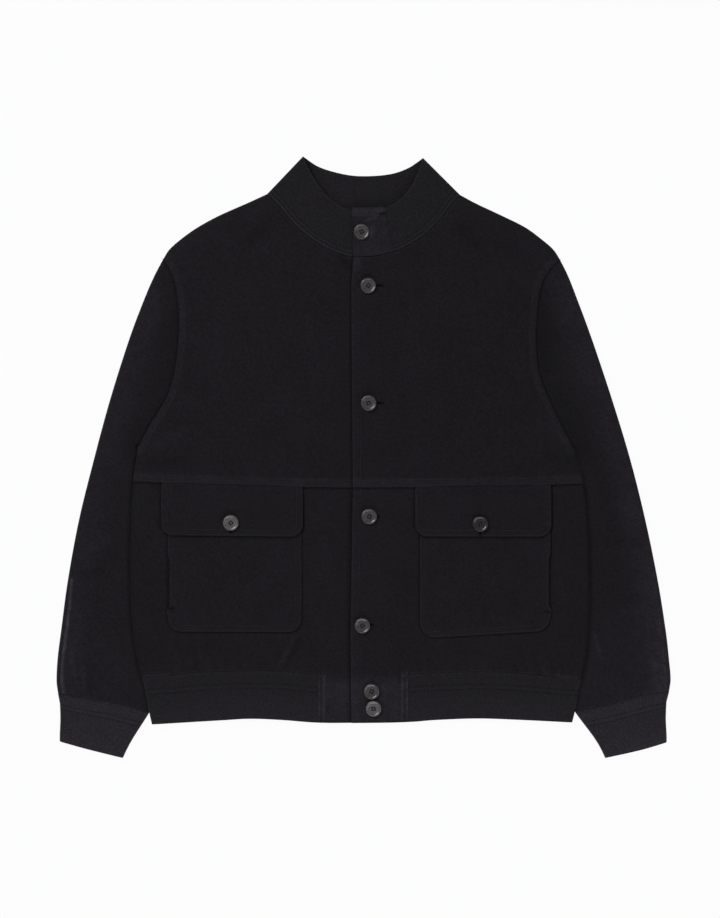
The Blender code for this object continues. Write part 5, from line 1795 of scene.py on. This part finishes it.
def horn_look(name, colour):
    """Polished dark horn, with faint lighter streaks."""
    material, tree, shader = shader_of(name, colour, 0.24, specular=0.5)
    place = tree.nodes.new("ShaderNodeTexCoord").outputs["Object"]
    along_grain = stretched(tree, place, (0.3, 1.0, 1.0))
    streaks = noise_of(tree, along_grain, scale=420.0, detail=4.0, roughness=0.55)
    shaded(tree, shader, colour, spread(tree, streaks, (0.35, 0.7), (0.7, 1.5)))
    tree.links.new(spread(tree, streaks, (0.3, 0.7), (0.22, 0.3)), shader.inputs["Roughness"])
    bumped(tree, shader, streaks, distance=0.0001, strength=0.1)
    return material


def thread_look(name, colour, shine=0.25):
    material, tree, shader = shader_of(name, colour, 0.7, specular=shine)
    place = tree.nodes.new("ShaderNodeTexCoord").outputs["Object"]
    twist = noise_of(tree, place, scale=2600.0, detail=2.0, roughness=0.5)
    shaded(tree, shader, colour, spread(tree, twist, (0.3, 0.7), (0.75, 1.25)))
    return material


# The studio

def studio():
    scene = bpy.context.scene
    scene.view_settings.view_transform = "Standard"
    world = bpy.data.worlds.new("studio")
    scene.world = world
    world.use_nodes = True
    sky = world.node_tree.nodes["Background"].inputs
    sky["Color"].default_value = (*WORLD_COLOUR, 1)
    sky["Strength"].default_value = WORLD_STRENGTH

    work = bmesh.new()
    bmesh.ops.create_grid(work, x_segments=1, y_segments=1, size=FLOOR_SIZE)
    mesh = bpy.data.meshes.new("floor")
    work.to_mesh(mesh)
    work.free()
    floor = bpy.data.objects.new("floor", mesh)
    floor.location.z = FLOOR_LEVEL
    scene.collection.objects.link(floor)
    material, tree, shader = shader_of("floor", FLOOR_BASE, 1.0, specular=0.0)
    shader.inputs["Emission Color"].default_value = (*FLOOR_COLOUR, 1)
    shader.inputs["Emission Strength"].default_value = 1.0
    place = tree.nodes.new("ShaderNodeTexCoord").outputs["Object"]
    clouds = noise_of(tree, place, scale=3.0, detail=2.0)
    shaded(tree, shader, FLOOR_BASE, spread(tree, clouds, (0.3, 0.7), (0.97, 1.03)))
    mesh.materials.append(material)

    for name, place, aim, size, power in LIGHTS:
        lamp = bpy.data.lights.new(name, "AREA")
        lamp.shape = "RECTANGLE"
        lamp.size, lamp.size_y = size
        lamp.energy = power
        light = bpy.data.objects.new(name, lamp)
        light.location = place
        light.rotation_euler = (Vector(aim) - Vector(place)).to_track_quat("-Z", "Y").to_euler()
        scene.collection.objects.link(light)

    lens = bpy.data.cameras.new("camera")
    lens.sensor_fit = "HORIZONTAL"
    lens.sensor_width = SENSOR
    lens.lens = SENSOR * (CAMERA_HEIGHT - VIEW_LEVEL) / VIEW_WIDTH
    lens.clip_end = 50.0
    camera = bpy.data.objects.new("camera", lens)
    camera.location = (*VIEW_MIDDLE, CAMERA_HEIGHT)
    scene.collection.objects.link(camera)
    scene.camera = camera


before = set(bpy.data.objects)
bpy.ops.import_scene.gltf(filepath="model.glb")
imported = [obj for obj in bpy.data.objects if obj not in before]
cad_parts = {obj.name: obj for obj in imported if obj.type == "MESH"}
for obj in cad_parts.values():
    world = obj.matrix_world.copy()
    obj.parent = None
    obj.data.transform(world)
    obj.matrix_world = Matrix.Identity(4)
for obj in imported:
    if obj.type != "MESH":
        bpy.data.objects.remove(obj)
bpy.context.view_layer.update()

SUEDE_LOOK = suede_look("suede", SUEDE_COLOUR)
KNIT_LOOK = knit_look("rib_knit", KNIT_COLOUR)
HORN_LOOKS = {name: horn_look(name, colour) for name, colour in HORN_COLOURS.items()}
THREAD_LOOK = thread_look("thread", THREAD_COLOUR)
# The buttonholes' mouths: a near-black sheet as painted shadow.
PAINTED_SLIT_SHADOW_LOOK = thread_look("slit", PAINTED_SLIT_SHADOW_COLOUR, 0.0)
DARK_THREAD_LOOK = thread_look("dark_thread", DARK_THREAD_COLOUR, 0.05)

RIGHT, LEFT = Side("right"), Side("left")
studio()
back(RIGHT, LEFT)
SEWN = []
for each in (RIGHT, LEFT):
    SEWN += [upper_front(each), lower_front(each), pocket(each), flap(each), sleeve(each)]
    cuff(each)
SEWN.append(collar_tab())
hem_band(RIGHT, LEFT)
collar(RIGHT, LEFT)
for sewn_name, sewn_rows, sewn_height, sewn_folds in SEWN:
    stitched(sewn_name, sewn_rows, sewn_height, sewn_folds)
HEIGHTS = {sewn_name: sewn_height for sewn_name, _, sewn_height, _ in SEWN}
for hole_name, carrier, x, y, turn, long in BUTTONHOLES:
    buttonhole(hole_name, x, y, math.radians(turn), HEIGHTS[carrier], long)
TACK_LOOKS = {"thread": THREAD_LOOK, "dark_thread": DARK_THREAD_LOOK}
for tack_name, carrier, x, y, turn, long, look in TACKS:
    tack(tack_name, x, y, math.radians(turn), HEIGHTS[carrier], long, TACK_LOOKS[look])
buttons()

bpy.context.view_layer.update()
